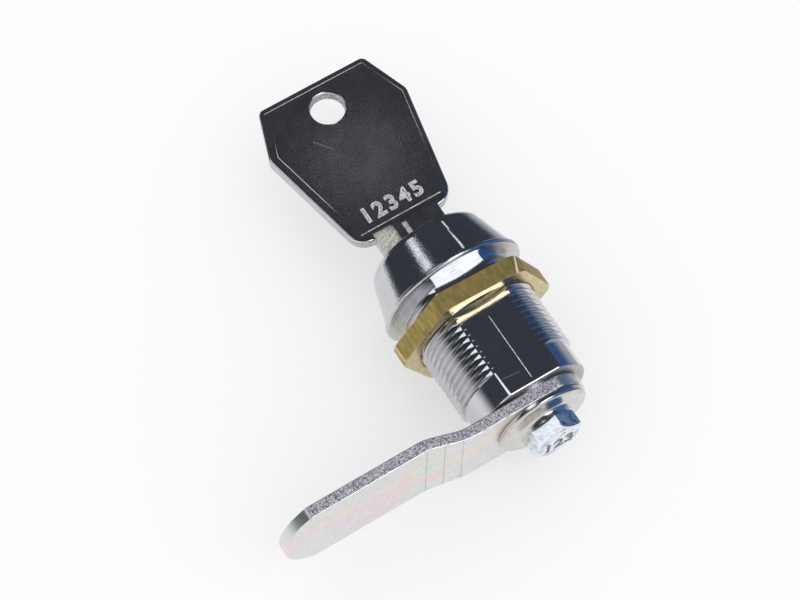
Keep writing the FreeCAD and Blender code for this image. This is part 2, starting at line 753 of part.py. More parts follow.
def make_key():
    """Flat steel key with a six-sided bow, two milled grooves and a stepped edge."""
    body = new_body("key")
    plan = new_sketch(body, "key_plan", "XY_Plane")
    base = "(-sizes.bow_base)"
    wide = f"({base} - sizes.bow_rise)"
    top = f"({wide} - sizes.bow_cap)"
    base_half, wide_half, top_half = (
        "(sizes.bow_base_width / 2)", "(sizes.bow_wide_width / 2)", "(sizes.bow_top_width / 2)")
    neck = "(sizes.neck_width / 2)"
    count = int(value("sizes.wafer_count"))
    half_pitch = "sizes.wafer_pitch / 2"
    steps = [(f"-{BLADE_HALF}", PLUG_FACE)]
    steps.append((f"-{BLADE_HALF}", f"{wafer_place(0)} - {half_pitch}"))
    for number in range(count):
        steps.append((cut_edge(number), f"{wafer_place(number)} - {half_pitch}"))
        if number < count - 1:
            steps.append((cut_edge(number), f"{wafer_place(number)} + {half_pitch}"))
    steps.append((cut_edge(count - 1), f"{BLADE_TIP} - sizes.tip_slope"))
    steps.append((f"{cut_edge(count - 1)} + sizes.tip_slope", BLADE_TIP))
    outline(plan, [
        (f"-{neck}", base),
        (f"-{neck}", PLUG_FACE),
        *steps,
        (f"{BLADE_HALF} - sizes.tip_slope", BLADE_TIP),
        (BLADE_HALF, f"{BLADE_TIP} - sizes.tip_slope"),
        (BLADE_HALF, PLUG_FACE),
        (neck, PLUG_FACE),
        (neck, base),
        (base_half, base),
        (wide_half, wide),
        (top_half, top),
        (f"-{top_half}", top),
        (f"-{wide_half}", wide),
        (f"-{base_half}", base),
    ])
    circle(plan, "0", f"{top} + sizes.ring_hole_setback", "sizes.ring_hole_radius")
    blank = pad(body, "key_blank", plan, "sizes.key_thickness", midplane=True)

    def base_corner(edge):
        place = edge.Vertexes[0].Point
        return (is_upright(edge) and abs(place.y - value(base)) < NEAR
                and abs(abs(place.x) - value(base_half)) < NEAR)

    def upper_corner(edge):
        return is_upright(edge) and edge.Vertexes[0].Y < value(wide) + NEAR

    flare = f"(({wide_half} - {base_half}) / sizes.bow_rise)"
    base_rounding = f"({base_half} - {neck} - sizes.bow_foot) * (sqrt(1 + {flare} ^ 2) + {flare})"
    rounded = fillet(body, "bow_base_rounded", blank, base_rounding, base_corner)
    fillet(body, "bow_rounded", rounded, "sizes.bow_rounding", upper_corner)

    # The milled grooves run out into the foot of the bow.
    runout = f"{base} - sizes.runout_length"
    grooves = (
        ("milled_step", "sizes.step_edge", f"{neck} + sizes.overcut", "sizes.step_depth"),
        ("milled_slot", "sizes.slot_edge", SLOT_END, "sizes.slot_depth"))
    for name, left, right, depth in grooves:
        sketch = new_sketch(body, f"{name}_outline", "XY_Plane", KEY_HALF)
        rectangle(sketch, left, right, runout, f"{BLADE_TIP} + sizes.overcut")
        pocket(body, name, sketch, depth)
    return body


pieces = [make_housing(), make_plug()]
for count in range(int(value("sizes.wafer_count"))):
    pieces.append(make_wafer(count))
    pieces.append(make_wafer_spring(count))
pieces += [make_retaining_wafer(), make_retaining_spring(), make_nut(), make_cam(), make_washer(),
           make_screw(), make_key()]
doc.recompute()

for item in doc.Objects:
    if {"Invalid", "Error"} & set(item.State):
        raise RuntimeError(f"{item.Label} did not build: {item.State}")
for piece in pieces:
    if piece.Shape.isNull() or not piece.Shape.isValid():
        raise RuntimeError(f"{piece.Label} has no valid shape")

os.makedirs("parts", exist_ok=True)
for piece in pieces:
    piece.Shape.exportStep(f"parts/{piece.Label}.step")
    box = piece.Shape.BoundBox
    print(f"{piece.Label}: {piece.Shape.Volume:.2f} mm3, solids {len(piece.Shape.Solids)}, "
          f"x {box.XMin:.2f} {box.XMax:.2f}, y {box.YMin:.2f} {box.YMax:.2f}, "
          f"z {box.ZMin:.2f} {box.ZMax:.2f}")
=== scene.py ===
# %% [markdown]
# # A mailbox lock
# A quarter-turn cam lock lies on a white table, seen from behind and above, with its key in it.
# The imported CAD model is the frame: it says where each piece is and how it moves. Blender's part
# is the look, so each piece that shows is made again here with rounded edges, a real thread and
# a finish of its own, and rides on the body that the CAD model gives it.

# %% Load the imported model
import random
from math import asin, atan2, ceil, cos, degrees, dist, pi, radians, sin, tan
import bmesh
import bpy
from bmesh.types import BMEdge, BMVert
from mathutils import Matrix, Vector


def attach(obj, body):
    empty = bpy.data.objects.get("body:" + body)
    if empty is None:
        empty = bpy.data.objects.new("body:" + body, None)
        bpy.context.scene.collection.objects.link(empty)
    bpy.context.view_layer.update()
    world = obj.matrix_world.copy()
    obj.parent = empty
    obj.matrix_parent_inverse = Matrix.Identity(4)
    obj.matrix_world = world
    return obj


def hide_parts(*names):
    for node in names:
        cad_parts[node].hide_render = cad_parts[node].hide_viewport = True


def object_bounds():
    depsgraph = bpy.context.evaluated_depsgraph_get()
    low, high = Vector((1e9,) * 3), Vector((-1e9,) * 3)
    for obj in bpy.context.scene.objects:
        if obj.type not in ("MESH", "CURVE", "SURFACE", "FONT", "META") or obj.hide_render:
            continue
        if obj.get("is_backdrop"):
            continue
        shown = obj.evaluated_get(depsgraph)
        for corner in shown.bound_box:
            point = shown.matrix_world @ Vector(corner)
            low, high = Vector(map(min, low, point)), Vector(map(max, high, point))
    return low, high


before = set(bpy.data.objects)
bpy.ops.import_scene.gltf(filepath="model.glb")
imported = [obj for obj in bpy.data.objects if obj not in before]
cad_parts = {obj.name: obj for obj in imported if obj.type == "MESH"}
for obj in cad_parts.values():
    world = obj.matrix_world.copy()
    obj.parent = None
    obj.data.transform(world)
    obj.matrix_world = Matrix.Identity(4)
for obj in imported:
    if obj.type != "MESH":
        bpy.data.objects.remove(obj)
cad_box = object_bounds()

# %% [markdown]
# ## Rings
# Nearly every piece of a lock is turned or bored, so it can be grown ring by ring: a ring of
# edges is extruded, and each new vertex keeps its angle round the lock's axis and gets a new
# radius and a new place along it. A spin would do for plain round work, but rings can also take
# a hexagon's or a grooved bore's outline, and they start from the ragged end of a cut thread.
# Lengths are in millimetres until a piece is finished.

# %% Cut and join
STEPS, MM, MERGE = 96, 0.001, 0.001


def only(kind, items):
    """Those of a tool's results that are vertices, or those that are edges."""
    return [item for item in items if isinstance(item, kind)]


def open_edges(edges):
    return [edge for edge in edges if edge.is_boundary]


def join(shape, ring, other):
    """Closes a wall between two open rings."""
    bmesh.ops.bridge_loops(shape, edges=open_edges(ring) + open_edges(other))


def push(shape, faces, move):
    """Extrudes faces and moves the new ones."""
    made = bmesh.ops.extrude_face_region(shape, geom=faces)["geom"]
    bmesh.ops.translate(shape, vec=move, verts=only(BMVert, made))


def split(shape, place, normal, faces=None, **settings):
    """Cuts along a plane, either some faces or the whole shape."""
    parts = [*shape.verts, *shape.edges, *shape.faces] if faces is None else list(
        {part for face in faces for part in (face, *face.edges, *face.verts)})
    return bmesh.ops.bisect_plane(shape, geom=parts, dist=MERGE / 100, plane_co=place,
                                  plane_no=normal, **settings)


def cut_off(shape, place, normal, close=False):
    """Cuts away what lies beyond a plane, and can close the cut with a face."""
    cut = split(shape, place, normal, clear_outer=True)
    if close:
        bmesh.ops.edgenet_fill(shape, edges=open_edges(only(BMEdge, cut["geom_cut"])))


# %% Grow a ring
def polar(radius, angle, y):
    """A point at a radius and an angle in degrees round the lock's axis, y along it."""
    turn = radians(angle)
    return Vector((radius * cos(turn), y, radius * sin(turn)))


def circle(shape, steps, radius, place):
    made = bmesh.ops.create_circle(shape, segments=steps, radius=radius, matrix=place)
    return list({edge for vertex in made["verts"] for edge in vertex.link_edges})


def first_ring(shape, radius, y, start=0):
    """A closed ring of edges round the axis; it is the profile's first corner."""
    turn = Matrix.Rotation(-radians(start), 4, "Y") @ Matrix.Rotation(pi / 2, 4, "X")
    return circle(shape, STEPS, radius, Matrix.Translation((0, y, 0)) @ turn)


def value_at(rule, angle):
    """A radius or a place can be one number, or a rule that gives it for each angle."""
    return rule(angle) if callable(rule) else rule


def grow(shape, ring, profile):
    """Extrudes a ring through a profile's (radius, place) corners and returns the last ring."""
    for radius, y in profile:
        made = bmesh.ops.extrude_edge_only(shape, edges=ring)["geom"]
        for vertex in only(BMVert, made):
            angle = degrees(atan2(vertex.co.z, vertex.co.x)) % 360
            vertex.co = polar(value_at(radius, angle), angle, value_at(y, angle))
        ring = open_edges(only(BMEdge, made))
    return ring


def arc(centre_x, centre_y, size, start, end, steps):
    """Points along an arc of a profile or a plan; angles in degrees, from its x towards its y."""
    turns = [radians(start + (end - start) * step / steps) for step in range(steps + 1)]
    return [(centre_x + size * cos(turn), centre_y + size * sin(turn)) for turn in turns]


# %% [markdown]
# ## Finishing a piece
# The last steps are the same for every piece: merge what lies on one spot, turn the faces
# outwards, go from millimetres to metres, and shade smoothly except over sharp edges. Weighted
# normals keep wide faces flat beside a narrow rounding, which matters on bright metal.

# %% Finish a piece
def middle(face):
    return face.calc_center_median()


def edges_sharper(shape, angle, rule=lambda edge: True):
    """The convex edges whose two faces meet at more than an angle and that keep to a rule."""
    return [edge for edge in shape.edges if edge.is_manifold
            and edge.calc_face_angle_signed() > radians(angle) and rule(edge)]


def soften(shape, edges, width, segments=2):
    """Rounds edges with a narrow bevel, and returns its faces."""
    made = bmesh.ops.bevel(shape, geom=edges, offset=width, offset_type="OFFSET", affect="EDGES",
                           segments=segments, profile=0.5, material=-1, clamp_overlap=False)
    return set(made["faces"])


def tidy(shape):
    bmesh.ops.remove_doubles(shape, verts=shape.verts, dist=MERGE)
    bmesh.ops.dissolve_degenerate(shape, edges=shape.edges, dist=MERGE / 10)
    bmesh.ops.recalc_face_normals(shape, faces=shape.faces)


def add_object(name, data):
    """Puts an object with this data into the scene."""
    thing = bpy.data.objects.new(name, data)
    bpy.context.scene.collection.objects.link(thing)
    return thing


def place_piece(name, mesh, body, node):
    """A piece that rides on a body and stands for a node of the CAD model."""
    piece = add_object(name, mesh)
    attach(piece, body)
    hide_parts(node)
    print(f"{name}: {len(mesh.polygons)} faces")
    return piece


def finish_piece(shape, name, body, finish, node, sharp=32, others=()):
    """Makes the piece's object, in metres. Others are pairs of a finish and its faces' rule."""
    tidy(shape)
    for face in shape.faces:
        face.smooth = True
        for number, (other, rule) in enumerate(others, 1):
            if rule(face):
                face.material_index = number
    for edge in shape.edges:
        edge.smooth = edge.is_manifold and edge.calc_face_angle() < radians(sharp)
    print(f"{name}: {sum(not edge.is_manifold for edge in shape.edges)} open edges")
    bmesh.ops.scale(shape, vec=(MM, MM, MM), verts=shape.verts)
    mesh = bpy.data.meshes.new(name)
    shape.to_mesh(mesh)
    shape.free()
    for used in (finish, *[other for other, rule in others]):
        mesh.materials.append(used)
    piece = place_piece(name, mesh, body, node)
    piece.modifiers.new("even_normals", "WEIGHTED_NORMAL").keep_sharp = True


# %% [markdown]
# ## Finishes
# All of the lock is metal, and what sets one metal apart from another is how its surface breaks
# up a reflection. So each finish is a metal whose colour, roughness and fine relief follow noise
# in the piece's own millimetres, which needs no unwrapping. A scratch has a known place, so it
# is drawn between two points of the piece.

# %% Node tools
def new_finish(name, metal):
    finish = bpy.data.materials.new(name)
    finish.use_nodes = True
    connect(finish, metal, "Metallic")
    print("finish:", name)
    return finish


def feed(socket, value):
    """Links a socket to another node's output, or sets its value."""
    if isinstance(value, bpy.types.NodeSocket):
        socket.id_data.links.new(value, socket)
    else:
        socket.default_value = value


def connect(finish, value, socket):
    """Feeds a socket of the material's shader."""
    feed(finish.node_tree.nodes["Principled BSDF"].inputs[socket], value)


def put(kind, inputs, owner=None, **settings):
    """Adds a node to its owner's tree, or to the one that its inputs come from, and feeds it."""
    tree = owner.node_tree if owner else next(
        value.id_data for value in inputs.values() if isinstance(value, bpy.types.NodeSocket))
    node = tree.nodes.new("ShaderNode" + kind)
    for setting, value in settings.items():
        setattr(node, setting, value)
    for socket, value in inputs.items():
        feed(node.inputs[socket], value)
    return node


def calculate(operation, first, second=0.0):
    return put("Math", {0: first, 1: second}, operation=operation).outputs["Value"]


def times(first, second):
    return calculate("MULTIPLY", first, second)


def measure(operation, first, second):
    """The dot product of two vectors, or the distance between two points."""
    return put("VectorMath", {0: first, 1: second}, operation=operation).outputs["Value"]


def step_between(value, start, end, low=0.0, high=1.0, curve="LINEAR"):
    """Goes from low to high while a value goes from start to end."""
    return put("MapRange", {"Value": value, "From Min": start, "From Max": end, "To Min": low,
                            "To Max": high}, interpolation_type=curve).outputs["Result"]


def mix(factor, first, second, how="MIX"):
    """Mixes two colours; each is a colour or another node's output."""
    full = [(*part, 1) if isinstance(part, tuple) else part for part in (first, second)]
    return put("Mix", {"Factor": factor, 6: full[0], 7: full[1]}, data_type="RGBA",
               blend_type=how).outputs[2]


def place_on(finish, stretch=(1, 1, 1), turn=0):
    """The point on the piece in millimetres, turned about Z by degrees and then stretched."""
    spot = put("TexCoord", {}, finish).outputs["Object"]
    turned = put("Mapping", {"Vector": spot, "Scale": (1 / MM,) * 3,
                             "Rotation": (0, 0, radians(turn))}).outputs["Vector"]
    return put("VectorMath", {0: turned, 1: stretch}, operation="MULTIPLY").outputs["Vector"]


def noise(vector, size, detail=3, roughness=0.55, seed=0):
    """Noise from 0 to 1 whose blots are about this many millimetres wide."""
    return put("TexNoise", {"Vector": vector, "W": seed, "Scale": 1 / size, "Detail": detail,
                            "Roughness": roughness}, noise_dimensions="4D").outputs["Fac"]


def ramp(factor, stops):
    """A colour ramp: stops are (place, colour) or (place, grey)."""
    node = put("ValToRGB", {"Fac": factor})
    band = node.color_ramp
    while len(band.elements) < len(stops):
        band.elements.new(0.5)
    for element, (place, colour) in zip(band.elements, stops):
        element.position = place
        element.color = (*colour, 1) if isinstance(colour, tuple) else (colour,) * 3 + (1,)
    return node.outputs["Color"]


def bump(finish, height, distance):
    """Raises the surface by a height pattern, at most by this many millimetres."""
    node = put("Bump", {"Height": height, "Distance": distance * MM})
    connect(finish, node.outputs["Normal"], "Normal")


# %% Marks at known places
def line_mark(finish, start, end, width):
    """1 on a scratch between two points of the plan (x, y), in millimetres, and 0 beside it."""
    along = Vector((end[0] - start[0], end[1] - start[1], 0))
    length = along.length
    along.normalize()
    aside = Vector((-along.y, along.x, 0))

    def distance(axis):
        value = measure("DOT_PRODUCT", place_on(finish), tuple(axis))
        return calculate("SUBTRACT", value, axis.dot(Vector((*start, 0))))
    inside = calculate("LESS_THAN", calculate("ABSOLUTE", distance(aside)), width)
    for operation, limit in (("GREATER_THAN", 0.0), ("LESS_THAN", length)):
        inside = times(inside, calculate(operation, distance(along), limit))
    return inside


def turned_lines(finish, height):
    """Lines that a lathe left round the rim, of this height; none further forward."""
    parts = put("SeparateXYZ", {"Vector": place_on(finish)}).outputs
    across = [times(parts[axis], parts[axis]) for axis in "XZ"]
    radius = calculate("SQRT", calculate("ADD", *across))
    place = put("CombineXYZ", {"X": radius, "Y": parts["Y"]}).outputs["Vector"]
    on_rim = calculate("GREATER_THAN", parts["Y"], -1.0)
    lines = noise(place, 0.3, detail=2, seed=26)
    return times(lines, times(on_rim, height))


# %% [markdown]
# Bright chrome on a zinc die casting: a cool mirror with the casting's fine grain, hairlines and
# one scratch across the flat. The head's plate is coarser and pitted, and its rim keeps the
# lines of the lathe.

# %% Chrome plate on the die casting
def make_chrome(name, grain_size=0.16, grain_top=0.15, depth=0.0045, pitted=0.0, turned=0.0):
    finish = new_finish(name, 1.0)
    spot = place_on(finish)
    mottle = ramp(noise(spot, 2.2, seed=1),
                  [(0.3, (0.558, 0.567, 0.585)), (0.7, (0.62, 0.63, 0.65))])
    hairs = noise(place_on(finish, (1, 0.05, 1), 35), 1.4, detail=1, seed=9)
    hairs = ramp(hairs, [(0.494, 0.0), (0.5, 0.22), (0.506, 0.0)])
    mark = line_mark(finish, (4.1, 17.8), (1.0, 18.1), 0.05)
    worn = calculate("MAXIMUM", hairs, times(mark, 0.34))
    grain = noise(spot, grain_size, detail=2, seed=2)
    rough = ramp(grain, [(0.35, 0.05), (0.65, grain_top)])
    pits = ramp(noise(place_on(finish, (0.5, 1, 1)), 0.4, seed=25), [(0.64, 0.0), (0.68, pitted)])
    connect(finish, mix(pits, mottle, (0.1, 0.11, 0.13)), "Base Color")
    connect(finish, calculate("MAXIMUM", rough, worn), "Roughness")
    relief = calculate("ADD", noise(spot, 0.3, detail=5, seed=3), grain)
    if turned:
        relief = calculate("ADD", relief, turned_lines(finish, turned))
    bump(finish, relief, depth)
    return finish


chrome = make_chrome("chrome_plate")
head_chrome = make_chrome("head_chrome", grain_size=0.3, grain_top=0.1, depth=0.02,
                          pitted=0.5, turned=5)

# %% [markdown]
# One noise makes each of the next surfaces. The plate hardly reaches the barrel's end face and
# bore, which keep the dull grey of the casting. Along the joint of the die the plate is rough, so
# that line scatters light, and so do the key's stamped number and the side of its border's inner
# rounding that faces +Y. The white of that line and of that rounding is a painted highlight.
# The cam's punched edge is torn and glitters in specks. The screw's zinc is bluer than the
# cam's, with dark streaks on its rolled facets. The number pressed into its end is a dark colour:
# painted shade in place of the pressing's recesses.

# %% Surfaces from one noise
def make_speckled(name, metal, rough, specks, colours, relief=None, depth=0.02):
    """Rough is a roughness or a ramp's stops, and the relief can have a noise of its own."""
    finish = new_finish(name, metal)
    pattern = noise(place_on(finish), **specks)
    connect(finish, ramp(pattern, colours), "Base Color")
    connect(finish, ramp(pattern, rough) if isinstance(rough, list) else rough, "Roughness")
    bump(finish, noise(place_on(finish), **relief) if relief else pattern, depth)
    return finish


def make_frosted(name, dark, light, size=0.2):
    return make_speckled(name, 0.2, 0.5, {"size": size, "seed": 22}, [(0.4, dark), (0.62, light)])


casting = make_speckled("bare_casting", 1.0, [(0.3, 0.6), (0.7, 0.4)],
                        {"size": 0.5, "detail": 6, "seed": 20},
                        [(0.35, (0.42, 0.41, 0.40)), (0.7, (0.72, 0.71, 0.70))],
                        {"size": 0.2, "detail": 5, "seed": 21})
# The parting line's plate is rough; its white colour is a painted highlight along the ridge.
rough_line_painted_highlight = make_frosted("rough_line_painted_highlight", (0.45, 0.46, 0.50), (1.0, 1.0, 1.0), 0.35)
frosted_nickel = make_frosted("frosted_nickel", (0.42, 0.41, 0.40), (0.95, 0.94, 0.91))
# Near-white finish for the side of the border's inner rounding that faces +Y: a painted highlight.
painted_highlight_nickel = make_frosted("painted_highlight_nickel", (0.32, 0.31, 0.30), (0.95, 0.94, 0.92), 0.6)
torn_edge = make_speckled("torn_edge", 0.35, [(0.4, 0.6), (0.7, 0.35)],
                          {"size": 0.22, "detail": 2, "roughness": 0.7, "seed": 16},
                          [(0.36, (0.12, 0.12, 0.15)), (0.5, (0.38, 0.365, 0.42)),
                           (0.62, (0.82, 0.80, 0.86))], depth=0.03)
screw_zinc = make_speckled("screw_zinc", 1.0, [(0.35, 0.12), (0.65, 0.28)],
                           {"size": 1.2, "detail": 4, "roughness": 0.6, "seed": 17},
                           [(0.38, (0.30, 0.35, 0.40)), (0.48, (0.76, 0.82, 0.85)),
                            (0.66, (0.88, 0.93, 0.96))], {"size": 0.5, "detail": 4, "seed": 18})
# Dark colour of the screw's pressed number: painted shade of the pressing.
pressed_mark_shade = make_speckled("pressed_mark_shade", 0.6, 0.45, {"size": 0.25, "seed": 19},
                           [(0.4, (0.06, 0.08, 0.11)), (0.6, (0.16, 0.20, 0.25)),
                            (0.72, (0.6, 0.7, 0.8))])

# %% [markdown]
# The nut is turned from brass bar and left bare. It goes from yellow to olive in streaks along
# the bar, with a few dark pits. Its ends are smoother than its sides. Its corners are worn pale,
# and their pale colour is also a painted highlight along each corner line.

# %% Brass
def make_brass(name, light=(0.56, 0.43, 0.155), dark=(0.39, 0.285, 0.095), rough=(0.6, 0.46),
               stretch=(1, 0.3, 1), metal=0.8):
    finish = new_finish(name, metal)
    spot = place_on(finish)
    streaks = noise(place_on(finish, stretch), 0.6, detail=5, seed=4)
    stains = ramp(noise(spot, 2.4, detail=4, seed=12),
                  [(0.35, (0.82, 0.84, 0.8)), (0.62, (1.0, 1.0, 1.0))])
    pits = ramp(noise(spot, 0.42, seed=13), [(0.66, 0.0), (0.72, 1.0)])
    colour = ramp(streaks, [(0.32, dark), (0.62, light)])
    colour = mix(1.0, colour, stains, "MULTIPLY")
    connect(finish, mix(pits, colour, (0.10, 0.075, 0.03)), "Base Color")
    connect(finish, ramp(streaks, [(0.3, rough[0]), (0.7, rough[1])]), "Roughness")
    bump(finish, streaks, 0.012)
    return finish


nut_brass = make_brass("nut_brass")
nut_end_brass = make_brass("nut_end_brass", (0.74, 0.62, 0.35), (0.58, 0.47, 0.24), (0.3, 0.18),
                           (1, 1, 1), 1.0)
# Pale brass for the corners: partly wear, partly a painted highlight along each corner line.
worn_and_highlit_brass = make_brass("worn_and_highlit_brass", (0.90, 0.84, 0.58), (0.62, 0.53, 0.28), metal=0.2)
wafer_brass = make_brass("wafer_brass")

# %% [markdown]
# Bright zinc plate with its clear passivation: pale, and tinted in clouds of pink, yellow and
# green, which on the cam follow its middle. The washer's plate is smoother and greyer.

# %% Zinc plate
TINT_PLACES, BAND_HALF = (0.36, 0.46, 0.54, 0.62, 0.70), 3.0


def make_zinc(name, tints, rough=(0.3, 0.42), cloud_size=5.5, seed=5, banded=0.0):
    """Banded says how much the tints follow a band along the middle, per millimetre aside."""
    finish = new_finish(name, 1.0)
    spot = place_on(finish)
    cloud = noise(place_on(finish, (0.5, 1, 1)), cloud_size, detail=2, seed=seed)
    aside = put("SeparateXYZ", {"Vector": spot}).outputs["Z"]
    inwards = calculate("SUBTRACT", BAND_HALF, calculate("ABSOLUTE", aside))
    cloud = calculate("ADD", cloud, times(inwards, banded))
    colour = ramp(cloud, list(zip(TINT_PLACES, tints)))
    shade = ramp(noise(spot, 0.9, detail=6, seed=seed + 0.5), [(0.3, 0.88), (0.65, 1.0)])
    connect(finish, mix(1.0, colour, shade, "MULTIPLY"), "Base Color")
    grain = noise(spot, 0.22, seed=6)
    connect(finish, ramp(grain, [(0.3, rough[0]), (0.7, rough[1])]), "Roughness")
    bump(finish, noise(spot, 0.25, detail=4, seed=6.5), 0.008)
    return finish


GREEN, WHITE, PINK = (0.76, 0.81, 0.77), (0.80, 0.80, 0.80), (0.86, 0.75, 0.78)
YELLOW, GREY, BRIGHT = (0.85, 0.81, 0.70), (0.5, 0.5, 0.5), (0.9, 0.9, 0.88)
cam_zinc = make_zinc("cam_zinc", (GREEN, WHITE, PINK, YELLOW, GREEN), banded=0.028)
worn_zinc = make_zinc("worn_zinc", (GREY, WHITE, WHITE, BRIGHT, GREY), (0.2, 0.3), 1.2, 25)
washer_steel = make_zinc("washer_steel", ((0.62, 0.60, 0.52), (0.70, 0.69, 0.66),
                                          (0.66, 0.65, 0.60), (0.72, 0.72, 0.72),
                                          (0.60, 0.58, 0.50)), (0.12, 0.22), 2.0, 15)

# %% [markdown]
# The key's nickel plate is darker than chrome and finely pitted all over, more so in the middle
# of the bow. The milled floors show the cutter's lines.

# %% Nickel plate on the key
BOW_MIDDLE, WORN_FROM, WORN_TO = (0.0, -26.0, 0.0), 4.0, 12.0


def make_nickel(name, light=(0.56, 0.555, 0.55), dark=(0.40, 0.395, 0.40), pits=(0.10, 0.26)):
    finish = new_finish(name, 1.0)
    spot = place_on(finish)
    cloud = noise(spot, 1.8, detail=6, seed=7)
    grain = noise(spot, 0.17, detail=2, roughness=0.7, seed=8)
    mark = line_mark(finish, (4.81, -31.69), (2.74, -28.81), 0.05)
    colour = ramp(cloud, [(0.3, dark), (0.7, light)])
    connect(finish, mix(mark, colour, (0.8, 0.79, 0.76)), "Base Color")
    worn = step_between(measure("DISTANCE", spot, BOW_MIDDLE), WORN_FROM, WORN_TO,
                        0.8 * (pits[1] - pits[0]), 0.0)
    rough = calculate("ADD", worn, ramp(grain, [(0.35, pits[0]), (0.7, pits[1])]))
    rough = calculate("MAXIMUM", rough, times(mark, 0.5))
    connect(finish, rough, "Roughness")
    bump(finish, grain, 0.006)
    return finish


key_nickel = make_nickel("key_nickel")
polished_nickel = make_nickel("polished_nickel", (0.80, 0.79, 0.77), (0.7, 0.69, 0.68),
                              (0.08, 0.12))
spring_steel = make_nickel("spring_steel", (0.66, 0.65, 0.64), (0.46, 0.455, 0.46), (0.16, 0.3))

milled_nickel = new_finish("milled_nickel", 0.2)
connect(milled_nickel, 0.42, "Roughness")
lines = noise(place_on(milled_nickel, (1, 0.1, 1), 62), 0.35, detail=4, seed=23)
blots = noise(place_on(milled_nickel), 0.3, detail=4, seed=24)
cuts = times(calculate("ADD", lines, blots), 0.5)
connect(milled_nickel, ramp(cuts, [(0.38, (0.30, 0.295, 0.27)), (0.48, (0.76, 0.75, 0.68)),
                                   (0.6, (0.97, 0.96, 0.90))]), "Base Color")
bump(milled_nickel, lines, 0.02)

# %% [markdown]
# ## Head
# The die-cast head is a shallow cone with a rim that stops against the door panel. Its rings
# run from the rim's rear face over the cone and the front edge into the counterbore, and back
# through the bore, whose four grooves take the wafers' ends.

# %% Head
RIM, RIM_FRONT, RIM_ROUND, RIM_INNER, STEP, EDGE_ROUND = 11.5, -0.8, 0.4, 9.0, 11.2, 0.2
FRONT, FRONT_EDGE, ROUNDING = -8.6, 8.9, 2.0
COUNTERBORE, SHELF, LUG_DEPTH, LUG_FROM, LUG_TO = 7.05, -6.65, 1.0, 191, 349
BORE, GROOVE_REACH, GROOVE_HALF, GROOVE_START = 6.45, 7.1, 3.1, -5.35


def grooved_bore(angle):
    """The bore's radius at an angle: round, with four flat-bottomed grooves."""
    across = radians(angle % 90)
    near = min(across, pi / 2 - across)
    along, aside = cos(near), sin(near)
    if aside * GROOVE_REACH / along < GROOVE_HALF:
        return GROOVE_REACH / along
    return max(BORE, GROOVE_HALF / aside) if aside * BORE < GROOVE_HALF else BORE


def shelf_place(angle):
    """The counterbore's floor lies deeper where the plug's stop lug turns."""
    return SHELF + LUG_DEPTH if LUG_FROM < angle < LUG_TO else SHELF


cone_lean = degrees(atan2(STEP - FRONT_EDGE, RIM_FRONT - FRONT))
round_centre = FRONT_EDGE - ROUNDING * tan(radians(90 - cone_lean) / 2)
head = bmesh.new()
start_ring = first_ring(head, RIM_INNER, 0)
ring = grow(head, start_ring, [
    *arc(RIM - RIM_ROUND, -RIM_ROUND, RIM_ROUND, 90, 0, 6),
    *arc(RIM - EDGE_ROUND, RIM_FRONT + EDGE_ROUND, EDGE_ROUND, 0, -90, 4), (STEP, RIM_FRONT),
    *arc(round_centre, FRONT + ROUNDING, ROUNDING, -cone_lean, -90, 10),
    *arc(COUNTERBORE + EDGE_ROUND, FRONT + EDGE_ROUND, EDGE_ROUND, -90, -180, 3),
    (COUNTERBORE, shelf_place), (BORE, shelf_place), (BORE, GROOVE_START),
    (grooved_bore, GROOVE_START), (grooved_bore, 0)])
join(head, ring, start_ring)

# %% [markdown]
# The two halves of the die leave a fine broken line on the casting, along the cone and along
# the flat. It is a real ridge: three cuts side by side, the middle one raised here and there.
# Its white finish is a painted highlight.

# %% Parting line
TOUCH, NEAR = 1e-3, 0.01


def parting_ridge(shape, x, lean, half_width, start, end, knots, on_strip):
    """Raises a broken ridge along the lock, from x, leaning by so much per millimetre, over
    the faces that a rule picks."""
    across = Vector((1, -lean, 0)).normalized()
    count = len(knots)
    places = [start + (end - start) * (number + 0.35 * sin(7 * number)) / (count - 1)
              for number in range(count)]

    def strip():
        return [face for face in shape.faces if face.normal.z > 0.3 and on_strip(face)]

    def aside(point):
        return abs((point - Vector((x, start, point.z))).dot(across))
    shape.normal_update()
    for shift in (-half_width, 0, half_width):
        split(shape, (x + shift, start, 0), across, strip())
    for y in places:
        split(shape, (0, y, 0), (0, 1, 0),
              [face for face in strip() if aside(middle(face)) < half_width])
    raised = set()
    for vertex in shape.verts:
        nearest = min(range(count), key=lambda number: abs(places[number] - vertex.co.y))
        on_knot = abs(places[nearest] - vertex.co.y) < TOUCH and aside(vertex.co) < TOUCH
        if on_knot and vertex.co.z > 0 and knots[nearest]:
            vertex.co.z += knots[nearest]
            raised.update(vertex.link_faces)
    print("parting ridge:", len(raised), "faces raised")
    return raised


dashes = random.Random(5)


def broken(count, gaps, lowest, highest):
    """Heights along a broken ridge, with a share of gaps and none at its ends."""
    return [0] + [0 if dashes.random() < gaps else dashes.uniform(lowest, highest)
                  for _ in range(count)] + [0]


CONE_SLOPE = -0.283
cone_line = parting_ridge(head, x=-1.97, lean=0.025, half_width=0.17, start=-7.0, end=-1.0,
                          knots=broken(22, 0.2, 0.045, 0.06),
                          on_strip=lambda face: abs(face.normal.y - CONE_SLOPE) < 0.03)
finish_piece(head, "head", "housing", head_chrome, "housing", sharp=18,
             others=[(casting, lambda face: middle(face).xz.length < BORE + 0.8),
                     (rough_line_painted_highlight, lambda face: face in cone_line)])

# %% [markdown]
# ## Barrel
# The thread is one real helix: a line with one tooth per turn is spun once round the axis while
# it climbs by one pitch, so that each tooth's end meets the next tooth's start. Its ends are
# trimmed square, and from them the plain end and the bore grow as rings. Then two planes cut
# the flats that stop the lock from turning in the panel.

# %% Thread
CREST, ROOT, PITCH = 9.5, 8.95, 1.0
THREAD_START, THREAD_END = 0.9, 16.5
TOOTH = ((0.0, 0.0), (0.08, 0.03), (0.40, 0.9), (0.45, 1.0), (0.55, 1.0), (0.60, 0.9),
         (0.92, 0.03))


